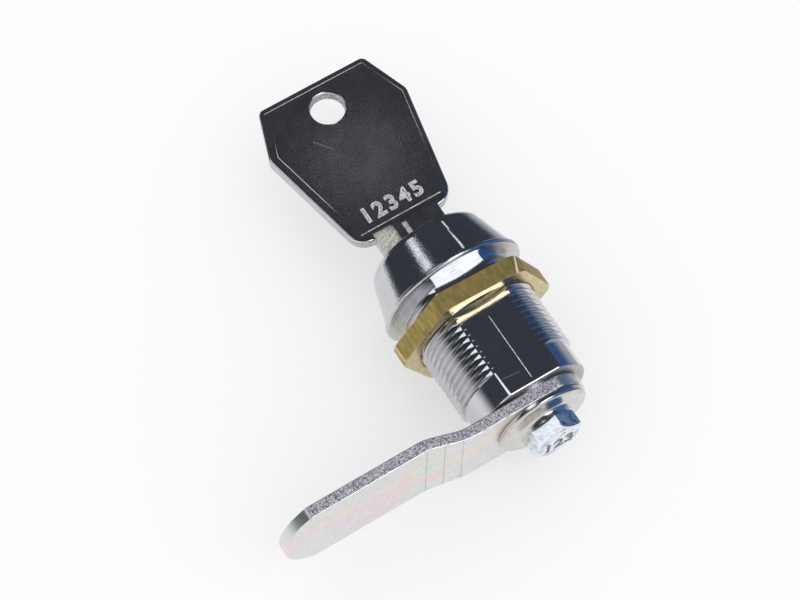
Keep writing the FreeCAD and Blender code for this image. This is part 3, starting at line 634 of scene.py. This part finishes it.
def thread(shape, root, crest, start, end, first_angle=0):
    """An open helical wall between two places along the axis; returns its two end rings."""
    line = [shape.verts.new(polar(root + height * (crest - root), first_angle,
                                  start + (turn + share) * PITCH))
            for turn in range(-2, ceil((end - start) / PITCH) + 2)
            for share, height in TOOTH]
    edges = [shape.edges.new(pair) for pair in zip(line, line[1:])]
    bmesh.ops.spin(shape, geom=line + edges, cent=(0, 0, 0), axis=(0, 1, 0),
                   dvec=(0, PITCH / STEPS, 0), angle=2 * pi, steps=STEPS)
    bmesh.ops.remove_doubles(shape, verts=shape.verts, dist=2 * MERGE)
    cut_off(shape, (0, end, 0), (0, 1, 0))
    cut_off(shape, (0, start, 0), (0, -1, 0))
    bmesh.ops.remove_doubles(shape, verts=shape.verts, dist=2 * MERGE)
    edges, halfway = open_edges(shape.edges), (start + end) / 2
    return ([edge for edge in edges if edge.verts[0].co.y < halfway],
            [edge for edge in edges if edge.verts[0].co.y > halfway])


# %% Barrel
END_RADIUS, END_CHAMFER, BARREL_END, FLAT, INSIDE_HEAD = 9.0, 0.15, 20.5, 8.0, -0.3
CATCH_RADIUS, CATCH_START, CATCH_END, CATCH_LAND = 7.2, 13.8, 15.4, 17.4

barrel = bmesh.new()
front_ring, rear_ring = thread(barrel, ROOT, CREST, THREAD_START, THREAD_END)
front_ring = grow(barrel, front_ring, [(ROOT, THREAD_START), (ROOT, INSIDE_HEAD)])
rear_ring = grow(barrel, rear_ring, [
    (END_RADIUS, THREAD_END), (END_RADIUS, BARREL_END - END_CHAMFER),
    (END_RADIUS - END_CHAMFER, BARREL_END), (BORE, BARREL_END), (BORE, CATCH_LAND),
    (grooved_bore, CATCH_LAND), (grooved_bore, CATCH_END), (CATCH_RADIUS, CATCH_END),
    (CATCH_RADIUS, CATCH_START), (grooved_bore, CATCH_START), (grooved_bore, INSIDE_HEAD)])
join(barrel, front_ring, rear_ring)
tidy(barrel)
for side in (1, -1):
    cut_off(barrel, (0, 0, side * FLAT), (0, 0, side), close=True)

# %% [markdown]
# A file has taken the burr off the flats, which leaves narrow facets along their sides and their
# rear edges: the bright lines round the dark flat. The die's ridge runs down the middle.

# %% Filed edges and parting line
FILED_AT, FILED_TILT, REAR_TILT, REAR_FACET = 4.45, radians(13), radians(21), 0.13
LONG_EDGE_FROM, LONG_EDGE_TO = 3.9, 4.2


def on_long_edge(edge):
    """Whether an edge runs along a flat's side, at the plain end or at a root of the thread."""
    ends = [vertex.co for vertex in edge.verts]
    straight = abs(ends[0].y - ends[1].y) > 0.8 * edge.calc_length()
    return straight and all(abs(abs(end.z) - FLAT) < TOUCH
                            and LONG_EDGE_FROM < abs(end.x) < LONG_EDGE_TO for end in ends)


soften(barrel, [edge for edge in barrel.edges if on_long_edge(edge)], 0.2, segments=1)
tidy(barrel)
for side in (1, -1):
    for edge in (1, -1):
        cut_off(barrel, (edge * FILED_AT, 0, side * FLAT),
                (edge * sin(FILED_TILT), 0, side * cos(FILED_TILT)), close=True)
    cut_off(barrel, (0, BARREL_END - REAR_FACET, side * FLAT),
            (0, sin(REAR_TILT), side * cos(REAR_TILT)), close=True)
flat_line = parting_ridge(barrel, x=0.1, lean=0.0, half_width=0.06, start=8.7, end=19.9,
                          knots=broken(38, 0.06, 0.022, 0.03),
                          on_strip=lambda face: face.normal.z > 0.999)
finish_piece(barrel, "barrel", "housing", chrome, "housing", sharp=8,
             others=[(casting, lambda face: middle(face).xz.length < CATCH_RADIUS + 0.3
                      or middle(face).y > BARREL_END - NEAR),
                     (rough_line_painted_highlight, lambda face: face in flat_line)])

# %% [markdown]
# ## Nut
# A thin nut cut from hexagonal brass bar, so its corners are only just broken. Its thread is
# the barrel's, a little wider, with a turned lead-in at each end. A spin can't give six sides,
# so they are one more ring whose radius follows the hexagon.

# %% Nut
NUT_FRONT, NUT_BACK, NUT_FLATS, NUT_TURN, NUT_CORNER = 3.25, 6.15, 22.4, 4, 0.47
NUT_ROOT, NUT_CREST, LEAD_IN, WORN_AND_HIGHLIT = ROOT + 0.08, CREST + 0.05, 0.3, 2


def hexagon(flats, turn, trim=0.0):
    """A hexagon's radius at each angle; its corners can be trimmed round."""
    def radius(angle):
        off = (angle - turn + 360) % 60 - 30
        corner = flats / 2 / cos(radians(30)) - trim
        return min(flats / 2 / cos(radians(off)), corner)
    return radius


def on_outside(edge):
    return min(vertex.co.xz.length for vertex in edge.verts) > NUT_FLATS / 2 - 0.5


def on_corner(edge):
    return on_outside(edge) and abs(edge.verts[0].co.y - edge.verts[1].co.y) > 1


nut = bmesh.new()
nut_side = hexagon(NUT_FLATS, NUT_TURN, NUT_CORNER)
front_ring, rear_ring = thread(nut, NUT_ROOT, NUT_CREST, NUT_FRONT + LEAD_IN,
                               NUT_BACK - LEAD_IN, first_angle=NUT_TURN)
front_ring = grow(nut, front_ring, [(NUT_CREST, NUT_FRONT + LEAD_IN),
                                    (NUT_CREST + LEAD_IN, NUT_FRONT), (nut_side, NUT_FRONT)])
rear_ring = grow(nut, rear_ring, [(NUT_CREST, NUT_BACK - LEAD_IN),
                                  (NUT_CREST + LEAD_IN, NUT_BACK), (nut_side, NUT_BACK)])
join(nut, front_ring, rear_ring)
tidy(nut)
# The corners' narrow roundings are painted pale: worn brass and a painted highlight together.
for face in soften(nut, edges_sharper(nut, 20, on_corner), 0.18, segments=1):
    face.material_index = WORN_AND_HIGHLIT
soften(nut, edges_sharper(nut, 60, on_outside), 0.09)
nut.normal_update()
finish_piece(nut, "nut", "nut", nut_brass, "hex_nut",
             others=[(nut_end_brass, lambda face: abs(face.normal.y) > 0.4),
                     (worn_and_highlit_brass, lambda face: face.material_index == WORN_AND_HIGHLIT)])

# %% [markdown]
# ## Cam
# A steel strip punched to its outline, cranked in a press and zinc plated: a plan of lines and
# arcs, filled, given its thickness and rounded at its edges. Many cuts across the crank let it
# bend smoothly, and the press leaves creases across the rear face.

# %% Cam
CAM_FRONT, CAM_BACK = 20.9, 22.7
HUB_HALF, HUB_ROUND, TIP_HALF, TIP_ROUND, REACH = 6.8, 7.5, 7.6, 8.5, 41.5
CRANK_START, CRANK_END, CRANK_OFFSET = 12.4, 18.0, 1.35
SQUARE_HALF, CREASES, CREASE_HALF, CREASE_DEPTH = 3.55, (13.1, 15.7, 18.4), 0.12, 0.17
BEND_REACH, BEND_MARGIN, BEND_CUTS, TIP_FROM = 1.2, 1.4, 28, 37.0


def cranked(x):
    """How far the strip is set forward at x, with a rounding at each bend."""
    slope = CRANK_OFFSET / (CRANK_END - CRANK_START)

    def rounded(distance):
        if abs(distance) >= BEND_REACH:
            return max(distance, 0.0)
        return (distance + BEND_REACH) ** 2 / (4 * BEND_REACH)
    return slope * (rounded(x - CRANK_START) - rounded(x - CRANK_END))


def loop(shape, points):
    """A closed loop of edges through a few points."""
    corners = [shape.verts.new(point) for point in points]
    return [shape.edges.new(pair) for pair in zip(corners, corners[1:] + corners[:1])]


hub_lean = degrees(asin(HUB_HALF / HUB_ROUND))
tip_lean = degrees(asin(TIP_HALF / TIP_ROUND))
outline = [*arc(REACH - TIP_ROUND, 0, TIP_ROUND, -tip_lean, tip_lean, 24),
           (CRANK_END, TIP_HALF), (CRANK_START, HUB_HALF),
           *arc(0, 0, HUB_ROUND, 180 - hub_lean, 180 + hub_lean, 16),
           (CRANK_START, -HUB_HALF), (CRANK_END, -TIP_HALF)]
half = SQUARE_HALF
square = [(half, half), (-half, half), (-half, -half), (half, -half)]
cam = bmesh.new()
edges = [edge for plan in (outline, square)
         for edge in loop(cam, [(x, CAM_FRONT, z) for x, z in plan])]
bmesh.ops.triangle_fill(cam, use_beauty=True, use_dissolve=True, edges=edges)
push(cam, cam.faces[:], (0, CAM_BACK - CAM_FRONT, 0))
tidy(cam)
soften(cam, edges_sharper(cam, 60), 0.15, segments=3)
bend_length = CRANK_END - CRANK_START + 2 * BEND_MARGIN
bends = [CRANK_START - BEND_MARGIN + cut * bend_length / BEND_CUTS for cut in range(BEND_CUTS + 1)]
creases = [x + shift for x in CREASES for shift in (-CREASE_HALF, 0, CREASE_HALF)]
for x in bends + creases:
    split(cam, (x, 0, 0), (1, 0, 0))
cam.normal_update()
before_tip = [face for face in cam.faces if middle(face).x < TIP_FROM]
torn = {face for face in before_tip if abs(face.normal.z) > 0.98}
worn = {face for face in before_tip if 0.1 < face.normal.y < 0.98}
for vertex in cam.verts:
    on_crease = any(abs(vertex.co.x - x) < TOUCH for x in CREASES)
    if on_crease and vertex.co.y > CAM_BACK - NEAR:
        vertex.co.y -= CREASE_DEPTH
    vertex.co.y -= cranked(vertex.co.x)
finish_piece(cam, "cam_plate", "plug", cam_zinc, "cam",
             others=[(torn_edge, lambda face: face in torn),
                     (worn_zinc, lambda face: face in worn)])

# %% [markdown]
# ## Washer
# A spring washer pressed to a shallow dish, with a round rim and highest round the screw. One
# profile grown round the axis makes it.

# %% Washer
WASHER_RIM, WASHER_HOLE, WASHER_THICKNESS, WASHER_DISH, WASHER_ROUND = 7.2, 2.65, 1.0, 1.3, 0.4
BOSS = ((6.4, 1.03), (5.6, 1.12), (5.0, 1.2), (4.6, 1.28), (4.4, 1.38), (4.26, 1.52), (4.2, 1.7),
        (4.17, 2.3))

washer = bmesh.new()
start_ring = first_ring(washer, WASHER_HOLE, CAM_BACK + WASHER_DISH)
ring = grow(washer, start_ring, [
    (WASHER_RIM - 0.15, CAM_BACK + 0.01), (WASHER_RIM, CAM_BACK + 0.16),
    *arc(WASHER_RIM - WASHER_ROUND, CAM_BACK + WASHER_THICKNESS - WASHER_ROUND, WASHER_ROUND,
         0, 80, 6),
    *[(radius, CAM_BACK + height) for radius, height in BOSS],
    (WASHER_HOLE, CAM_BACK + WASHER_DISH + WASHER_THICKNESS)])
join(washer, ring, start_ring)
finish_piece(washer, "washer", "plug", washer_steel, "spring_washer")

# %% [markdown]
# ## Screw
# A cold-formed hexagon screw holds the cam. Its shank and head are one body of rings, round and
# then six-sided, and the turned chamfer is a ring that bites deeper at the corners.

# %% Screw
SEAT, HEAD_END, SCREW_FLATS, SCREW_TURN = 25.0, 27.4, 7.2, 38
SHANK, SHANK_TIP, TIP_CHAMFER, CHAMFER_TOP = 2.45, 16.5, 0.4, 3.45
screw_side = hexagon(SCREW_FLATS, SCREW_TURN)


def chamfer_place(angle):
    return HEAD_END - (screw_side(angle) - CHAMFER_TOP) * tan(radians(30))


screw = bmesh.new()
start_ring = first_ring(screw, SHANK, SHANK_TIP + TIP_CHAMFER, SCREW_TURN)
tip_ring = grow(screw, start_ring, [(SHANK - TIP_CHAMFER, SHANK_TIP)])
head_ring = grow(screw, open_edges(start_ring), [
    (SHANK, SEAT), (screw_side, SEAT), (screw_side, chamfer_place), (CHAMFER_TOP, HEAD_END)])
for ring in (tip_ring, head_ring):
    bmesh.ops.edgeloop_fill(screw, edges=ring)
finish_piece(screw, "screw", "plug", screw_zinc, "cam_screw")

# %% [markdown]
# ## Key
# A flat key, milled from nickel-plated stock. Its plan is cut into fields, and each field is
# built up to its own height: the full thickness, the floor of the slot or that of the step.

# %% Key plan
KEY_HALF, STEP_FLOOR, SLOT_FLOOR, FLUSH = 1.0, 0.3, 0.6, 1e-4
STEP_EDGE, SLOT_START, SLOT_END, MILLED_FROM, RAMP_END = 2.1, 0.0, 0.8, -14.0, -10.0
NECK, BLADE, BLADE_TIP, TIP_SLOPE = 5.4, 4.3, 11.6, 1.8
PLUG_FACE, FIRST_WAFER, WAFER_PITCH, FIRST_CUT, CUT_STEP = -8.3, -4.6, 2.4, 0.2, 0.22
BOW_BASE, BOW_WIDE, BOW_TOP = -13.05, -32.3, -40.35
BASE_HALF, WIDE_HALF, TOP_HALF, RING_PLACE, RING_RADIUS = 8.05, 12.0, 9.15, -35.45, 2.65

key = bmesh.new()
field = key.faces.layers.int.new("field")


def rounded_loop(corners):
    """A closed loop of edges on the key's lower face; corners are (x, y, rounding)."""
    known = set(key.edges)
    loop(key, [(x, y, -KEY_HALF) for x, y, size in corners])
    for x, y, size in corners:
        if size:
            corner = Vector((x, y, -KEY_HALF))
            nearest = min(key.verts, key=lambda vertex: (vertex.co - corner).length)
            bmesh.ops.bevel(key, geom=[nearest], offset=size, offset_type="OFFSET",
                            affect="VERTICES", segments=6, profile=0.5, material=-1)
    return [edge for edge in key.edges if edge not in known]


def mirrored(corners):
    return [(-x, y, size) for x, y, size in reversed(corners)]


def key_outline():
    """The key's plan: bow, neck, and the blade with its six cuts on the -X edge."""
    bow = [(TOP_HALF, BOW_TOP, 0.7), (WIDE_HALF, BOW_WIDE, 0.5), (BASE_HALF, BOW_BASE, 2.4),
           (NECK, BOW_BASE, 0.2), (NECK, PLUG_FACE, 0), (BLADE, PLUG_FACE, 0)]
    last, shoulder = FIRST_CUT + 5 * CUT_STEP - BLADE, BLADE_TIP - TIP_SLOPE
    corners = [*bow, (BLADE, shoulder, 0), (BLADE - TIP_SLOPE, BLADE_TIP, 0),
               (last + TIP_SLOPE, BLADE_TIP, 0), (last, shoulder, 0)]
    for wafer in reversed(range(6)):
        edge = FIRST_CUT + wafer * CUT_STEP - BLADE
        place = FIRST_WAFER + wafer * WAFER_PITCH
        if wafer < 5:
            corners.append((edge, place + WAFER_PITCH / 2, 0))
        corners.append((edge, place - WAFER_PITCH / 2, 0))
    return [*corners, (-BLADE, FIRST_WAFER - WAFER_PITCH / 2, 0), *mirrored(bow)]


def border_corners(inset):
    """The bow's outline set in by a distance, with sharp corners."""
    right = [(TOP_HALF - 0.75 * inset, BOW_TOP + inset, 0),
             (WIDE_HALF - 1.05 * inset, BOW_WIDE + 0.1 * inset, 0),
             (BASE_HALF - 0.85 * inset, BOW_BASE - 1.2 * inset, 0)]
    return right + mirrored(right)


# %% Key fields
PLAIN, BORDER, SLOT, MILLED_STEP = 0, 1, 2, 3
BORDER_OUTER, BORDER_INNER, BORDER_DEPTH = 0.8, 1.3, 0.12

outline_edges = rounded_loop(key_outline())
outer_edges = rounded_loop(border_corners(BORDER_OUTER))
inner_edges = rounded_loop(border_corners(BORDER_INNER))
hole_edges = circle(key, 64, RING_RADIUS, Matrix.Translation((0, RING_PLACE, -KEY_HALF)))
for edges in (outline_edges + outer_edges, inner_edges + hole_edges):
    bmesh.ops.triangle_fill(key, use_beauty=True, use_dissolve=False, edges=edges)
for face in bmesh.ops.bridge_loops(key, edges=outer_edges + inner_edges)["faces"]:
    face[field] = BORDER


def towards_tip():
    return [face for face in key.faces if middle(face).y > MILLED_FROM]


split(key, (0, MILLED_FROM, 0), (0, 1, 0), key.faces[:])
for x in (SLOT_START, SLOT_END, STEP_EDGE, NECK):
    split(key, (x, 0, 0), (1, 0, 0), towards_tip())
split(key, (0, RAMP_END, 0), (0, 1, 0), towards_tip())
for face in towards_tip():
    x = middle(face).x
    face[field] = (SLOT if SLOT_START < x < SLOT_END else
                   MILLED_STEP if STEP_EDGE < x < NECK else PLAIN)


def raise_fields(level, height, kinds, sheet=False):
    """Extrudes the faces at a level that belong to some fields."""
    faces = [face for face in key.faces if face[field] in kinds
             and all(abs(vertex.co.z - level) < FLUSH for vertex in face.verts)]
    push(key, faces, (0, 0, height))
    if not sheet:
        bmesh.ops.delete(key, geom=faces, context="FACES_KEEP_BOUNDARY")


raise_fields(-KEY_HALF, STEP_FLOOR + KEY_HALF, (PLAIN, BORDER, SLOT, MILLED_STEP), sheet=True)
raise_fields(STEP_FLOOR, SLOT_FLOOR - STEP_FLOOR, (PLAIN, BORDER, SLOT))
raise_fields(SLOT_FLOOR, KEY_HALF - SLOT_FLOOR, (PLAIN, BORDER))
raise_fields(KEY_HALF, -BORDER_DEPTH, (BORDER,))
raise_fields(-KEY_HALF, BORDER_DEPTH, (BORDER,))
tidy(key)
for vertex in key.verts:
    at_slot_end = abs(vertex.co.y - MILLED_FROM) < TOUCH and -NEAR < vertex.co.x < SLOT_END + NEAR
    if at_slot_end and abs(vertex.co.z - SLOT_FLOOR) < TOUCH:
        vertex.co.z = KEY_HALF - 0.02

# %% Key edges
def on_face(edge):
    """Whether an edge lies in the key's upper or lower face."""
    return all(abs(abs(vertex.co.z) - KEY_HALF) < FLUSH for vertex in edge.verts)


def on_border(inset):
    """A rule for the edges along one side of the border groove."""
    places = [(x, y) for x, y, size in border_corners(inset)]
    return lambda edge: on_face(edge) and all(
        any(dist(vertex.co.xy, place) < NEAR for place in places) for vertex in edge.verts)


def on_bow(edge):
    """Whether an edge goes round the bow or its hole, away from the milled neck."""
    on_neck = all(abs(vertex.co.x) < NECK + 0.1 and vertex.co.y > MILLED_FROM - 0.1
                  for vertex in edge.verts)
    top = max(vertex.co.y for vertex in edge.verts)
    return on_face(edge) and top < BOW_BASE + 0.1 and not on_neck


soften(key, edges_sharper(key, 60, on_border(BORDER_OUTER)), 0.08)
# The border's inner rounding; its side facing +Y gets a painted highlight further down.
inner_border_rounding = soften(key, edges_sharper(key, 60, on_border(BORDER_INNER)), 0.13)
soften(key, edges_sharper(key, 60, on_bow), 0.22, segments=3)


def milled_floor(face):
    spot = middle(face)
    on_ramp = 0 < spot.x < SLOT_END and spot.y < RAMP_END and 0.9 < face.normal.z < 0.9999
    return on_ramp or min(abs(spot.z - STEP_FLOOR), abs(spot.z - SLOT_FLOOR)) < TOUCH


def hole_wall(face):
    near_hole = dist(middle(face).xy, (0, RING_PLACE)) < RING_RADIUS
    return near_hole and abs(face.normal.z) < 0.1


def rounded_edge(face):
    """The narrow roundings round the key's faces and along the border groove."""
    return 0.05 < abs(face.normal.z) < 0.98 and middle(face).y < BOW_BASE + 0.5


key.normal_update()
finish_piece(key, "key_blank", "key", key_nickel, "key",
             others=[(polished_nickel, rounded_edge), (milled_nickel, milled_floor),
                     (torn_edge, hole_wall),
                     # Painted highlight on the +Y side of the border's inner rounding.
                     (painted_highlight_nickel, lambda face: face in inner_border_rounding and face.normal.y > 0.3)])

# %% [markdown]
# The key number is stamped with open-outline punches, so each digit is a thin raised ridge
# round its own shape. A text without a fill and with a small round bevel is exactly such a
# ridge. It becomes a mesh before it takes its place on the bow.

# %% Key number
DIGIT_SIZE, DIGIT_HEIGHT = 3.5, 0.02


def stamped_text(name, words, spacing, place, body, finish, node, ridge=0.0, weight=0.0):
    """Text as a mesh on a face: raised ridges round each digit, or thin filled digits."""
    text = bpy.data.curves.new(name, "FONT")
    text.body = words
    text.size = DIGIT_SIZE
    text.align_x, text.align_y = "CENTER", "CENTER"
    text.resolution_u = 4
    text.space_character = spacing
    if ridge:
        text.fill_mode = "NONE"
        text.bevel_depth = ridge
        text.bevel_resolution = 1
    else:
        text.extrude = DIGIT_HEIGHT
        text.offset = weight
    holder = add_object(name, text)
    bpy.context.view_layer.update()
    mesh = bpy.data.meshes.new_from_object(holder.evaluated_get(
        bpy.context.evaluated_depsgraph_get()))
    bpy.data.objects.remove(holder)
    mesh.transform(Matrix.Scale(MM, 4) @ place)
    mesh.materials.clear()
    mesh.materials.append(finish)
    if ridge:
        mesh.polygons.foreach_set("use_smooth", [True] * len(mesh.polygons))
    place_piece(name, mesh, body, node)


number_place = (Matrix.Translation((0.2, -16.9, KEY_HALF)) @ Matrix.Rotation(pi, 4, "Z")
                @ Matrix.Diagonal((1, 1, 0.6, 1)))
stamped_text("key_number", "12345", 1.24, number_place, "key", frosted_nickel,
             "key", ridge=0.145)

# %% [markdown]
# A plain number is pressed into the screw's end. It is drawn as thin dark figures on the end that
# read from behind; their dark colour is painted shade in place of the pressed recesses.

# %% Mark on the screw
mark_place = Matrix.Translation((0, HEAD_END + 0.005, -0.6)) @ Matrix((
    (-1, 0, 0, 0), (0, 0, 1, 0), (0, 1, 0, 0), (0, 0, 0, 1)))
stamped_text("screw_mark", "123", 1.0, mark_place, "plug", pressed_mark_shade, "cam_screw",
             weight=0.09)

# %% [markdown]
# ## Table
# The lock lies on white paper. Its metal mirrors the paper close by, and past that the room.
# Half of the paper is plain white to the camera and to reflections, which keeps shadows light.

# %% Table
SHADOW_LIFT, PAPER_MIDDLE, PAPER_SEEN = 0.5, (30, 12), (56, 62)
floor_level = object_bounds()[0].z

paper = new_finish("paper", 0.0)
connect(paper, 0.95, "Roughness")
connect(paper, (0.97, 0.965, 0.975, 1), "Base Color")
connect(paper, 0.1, "Specular IOR Level")
seen = put("LightPath", {}, paper).outputs
direct = calculate("MAXIMUM", seen["Is Camera Ray"], seen["Is Glossy Ray"])
share = times(SHADOW_LIFT, direct)
glow = put("Emission", {"Color": (1, 1, 1, 1)}, paper)
clear = put("BsdfTransparent", {}, paper)
plain = paper.node_tree.nodes["Principled BSDF"].outputs["BSDF"]
lifted = put("MixShader", {"Fac": share, 1: plain, 2: glow.outputs["Emission"]})
away = measure("DISTANCE", place_on(paper), (*PAPER_MIDDLE, floor_level / MM))
far = times(step_between(away, *PAPER_SEEN), seen["Is Glossy Ray"])
both = put("MixShader", {"Fac": far, 1: lifted.outputs["Shader"], 2: clear.outputs["BSDF"]})
feed(paper.node_tree.nodes["Material Output"].inputs["Surface"], both.outputs["Shader"])

shape = bmesh.new()
bmesh.ops.create_grid(shape, x_segments=4, y_segments=4, size=0.6)
bmesh.ops.translate(shape, vec=(0, 0, floor_level), verts=shape.verts)
mesh = bpy.data.meshes.new("paper_sheet")
shape.to_mesh(mesh)
shape.free()
mesh.materials.append(paper)
add_object("paper_sheet", mesh)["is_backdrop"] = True
print("table at", round(floor_level / MM, 2))

# %% [markdown]
# ## Studio
# Paper and camera take a plain white room. Metal mirrors more: a room that is white low down
# and behind, dark overhead where the camera stands, and blue at one side. A soft box over the
# far end, a narrow strip and a small patch light give the bright lines and bands on cone, flat
# and screw. The room is only directions and smooth steps between colours.

# %% Room
room = bpy.data.worlds.new("studio")
bpy.context.scene.world = room
room.use_nodes = True
room.node_tree.nodes.clear()
direction = put("TexCoord", {}, room).outputs["Generated"]
LEFT = (-1.0, 0.0, 0.0)


def facing(aim, start, end):
    """A smooth step from 0 to 1 as a direction turns towards the aim."""
    return step_between(measure("DOT_PRODUCT", direction, aim), start, end, curve="SMOOTHSTEP")


white_room = mix(facing(LEFT, 0.3, 0.7), (0.92, 0.92, 0.94), (0.48, 0.50, 0.55))
dark_room = mix(facing(LEFT, 0.72, 0.97), (0.05, 0.055, 0.07), (0.05, 0.115, 0.28))
mirrored = mix(facing((-0.127, -0.9, 1.0), 0.0, 0.40), white_room, dark_room)
blue_wall = ((-0.83, 0.5, 0.25), 0.68, 0.87, (0.08, 0.17, 0.42))
patch = ((0.293, -0.808, 0.512), 0.9955, 0.998, (1.6, 1.62, 1.7))
strip = ((0.327, -0.357, 0.876), 0.970, 0.983, (1.4, 1.42, 1.48))
soft_box = ((-0.254, 0.347, 0.902), 0.945, 0.965, (3.2, 3.2, 3.3))
for aim, start, end, colour in (blue_wall, patch, strip, soft_box):
    mirrored = mix(facing(aim, start, end), mirrored, colour)

path = put("LightPath", {}, room).outputs
lit = mix(path["Is Glossy Ray"], (0.99, 0.985, 1.0), mirrored)
lit = mix(path["Is Camera Ray"], lit, (1.0, 1.0, 1.0))
background = put("Background", {"Color": lit})
put("OutputWorld", {"Surface": background.outputs["Background"]})

# %% [markdown]
# One soft lamp, weak against the room, gives the paper its direction of shadow. The metal
# doesn't see it, because the room has the soft box already.

# %% Lamp
lamp_data = bpy.data.lights.new("key_lamp", "AREA")
lamp_data.shape = "SQUARE"
lamp_data.size = 0.42
lamp_data.energy = 0.22
lamp = add_object("key_lamp", lamp_data)
lamp_place, lamp_target = Vector((-0.18, 0.24, 0.63)), Vector((0.005, 0, 0))
lamp_turn = (lamp_target - lamp_place).to_track_quat("-Z", "Y").to_matrix().to_4x4()
lamp.matrix_world = Matrix.Translation(lamp_place) @ lamp_turn
lamp.visible_glossy = False
print("lamp:", round(lamp_data.energy, 2), "W")

# %% [markdown]
# ## Camera
# Place, direction and lens were fitted to the photograph together with the sizes, so they are
# written as they came out.

# %% Camera
camera_data = bpy.data.cameras.new("camera")
camera_data.sensor_width = 36
camera_data.lens = 117
camera_data.clip_start = 0.01
camera = add_object("camera", camera_data)
forward = Vector((-0.23515, -0.35707, -0.90399)).normalized()
up = Vector((-0.47600, -0.76860, 0.42741)).normalized()
right = forward.cross(up).normalized()
up = right.cross(forward)
turn = Matrix((right, up, -forward)).transposed().to_4x4()
camera.matrix_world = Matrix.Translation(Vector((96.03, 131.43, 340.89)) * MM) @ turn
bpy.context.scene.camera = camera
bpy.context.scene.view_settings.view_transform = "Standard"
print("lens:", camera_data.lens, "mm")

# %% [markdown]
# ## Pieces kept from the CAD model
# The plug, wafers and springs sit inside the housing. Only the plug's face is seen, so they keep
# their CAD shapes and get the finishes made above.

# %% Kept pieces
kept = {"plug": chrome, "retaining_wafer": wafer_brass, "retaining_spring": spring_steel}
for number in range(1, 7):
    kept.update({f"wafer_{number}": wafer_brass, f"wafer_spring_{number}": spring_steel})
for node, finish in kept.items():
    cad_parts[node].data.materials.clear()
    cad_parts[node].data.materials.append(finish)
print("kept:", len(kept), "pieces")

# %% [markdown]
# ## Sizes
# The box round everything shown must stay the CAD model's box, so both are written down.

# %% Sizes
shown_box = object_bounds()
for label, box in (("CAD box", cad_box), ("shown box", shown_box)):
    print(label, [[round(part / MM, 2) for part in corner] for corner in box])
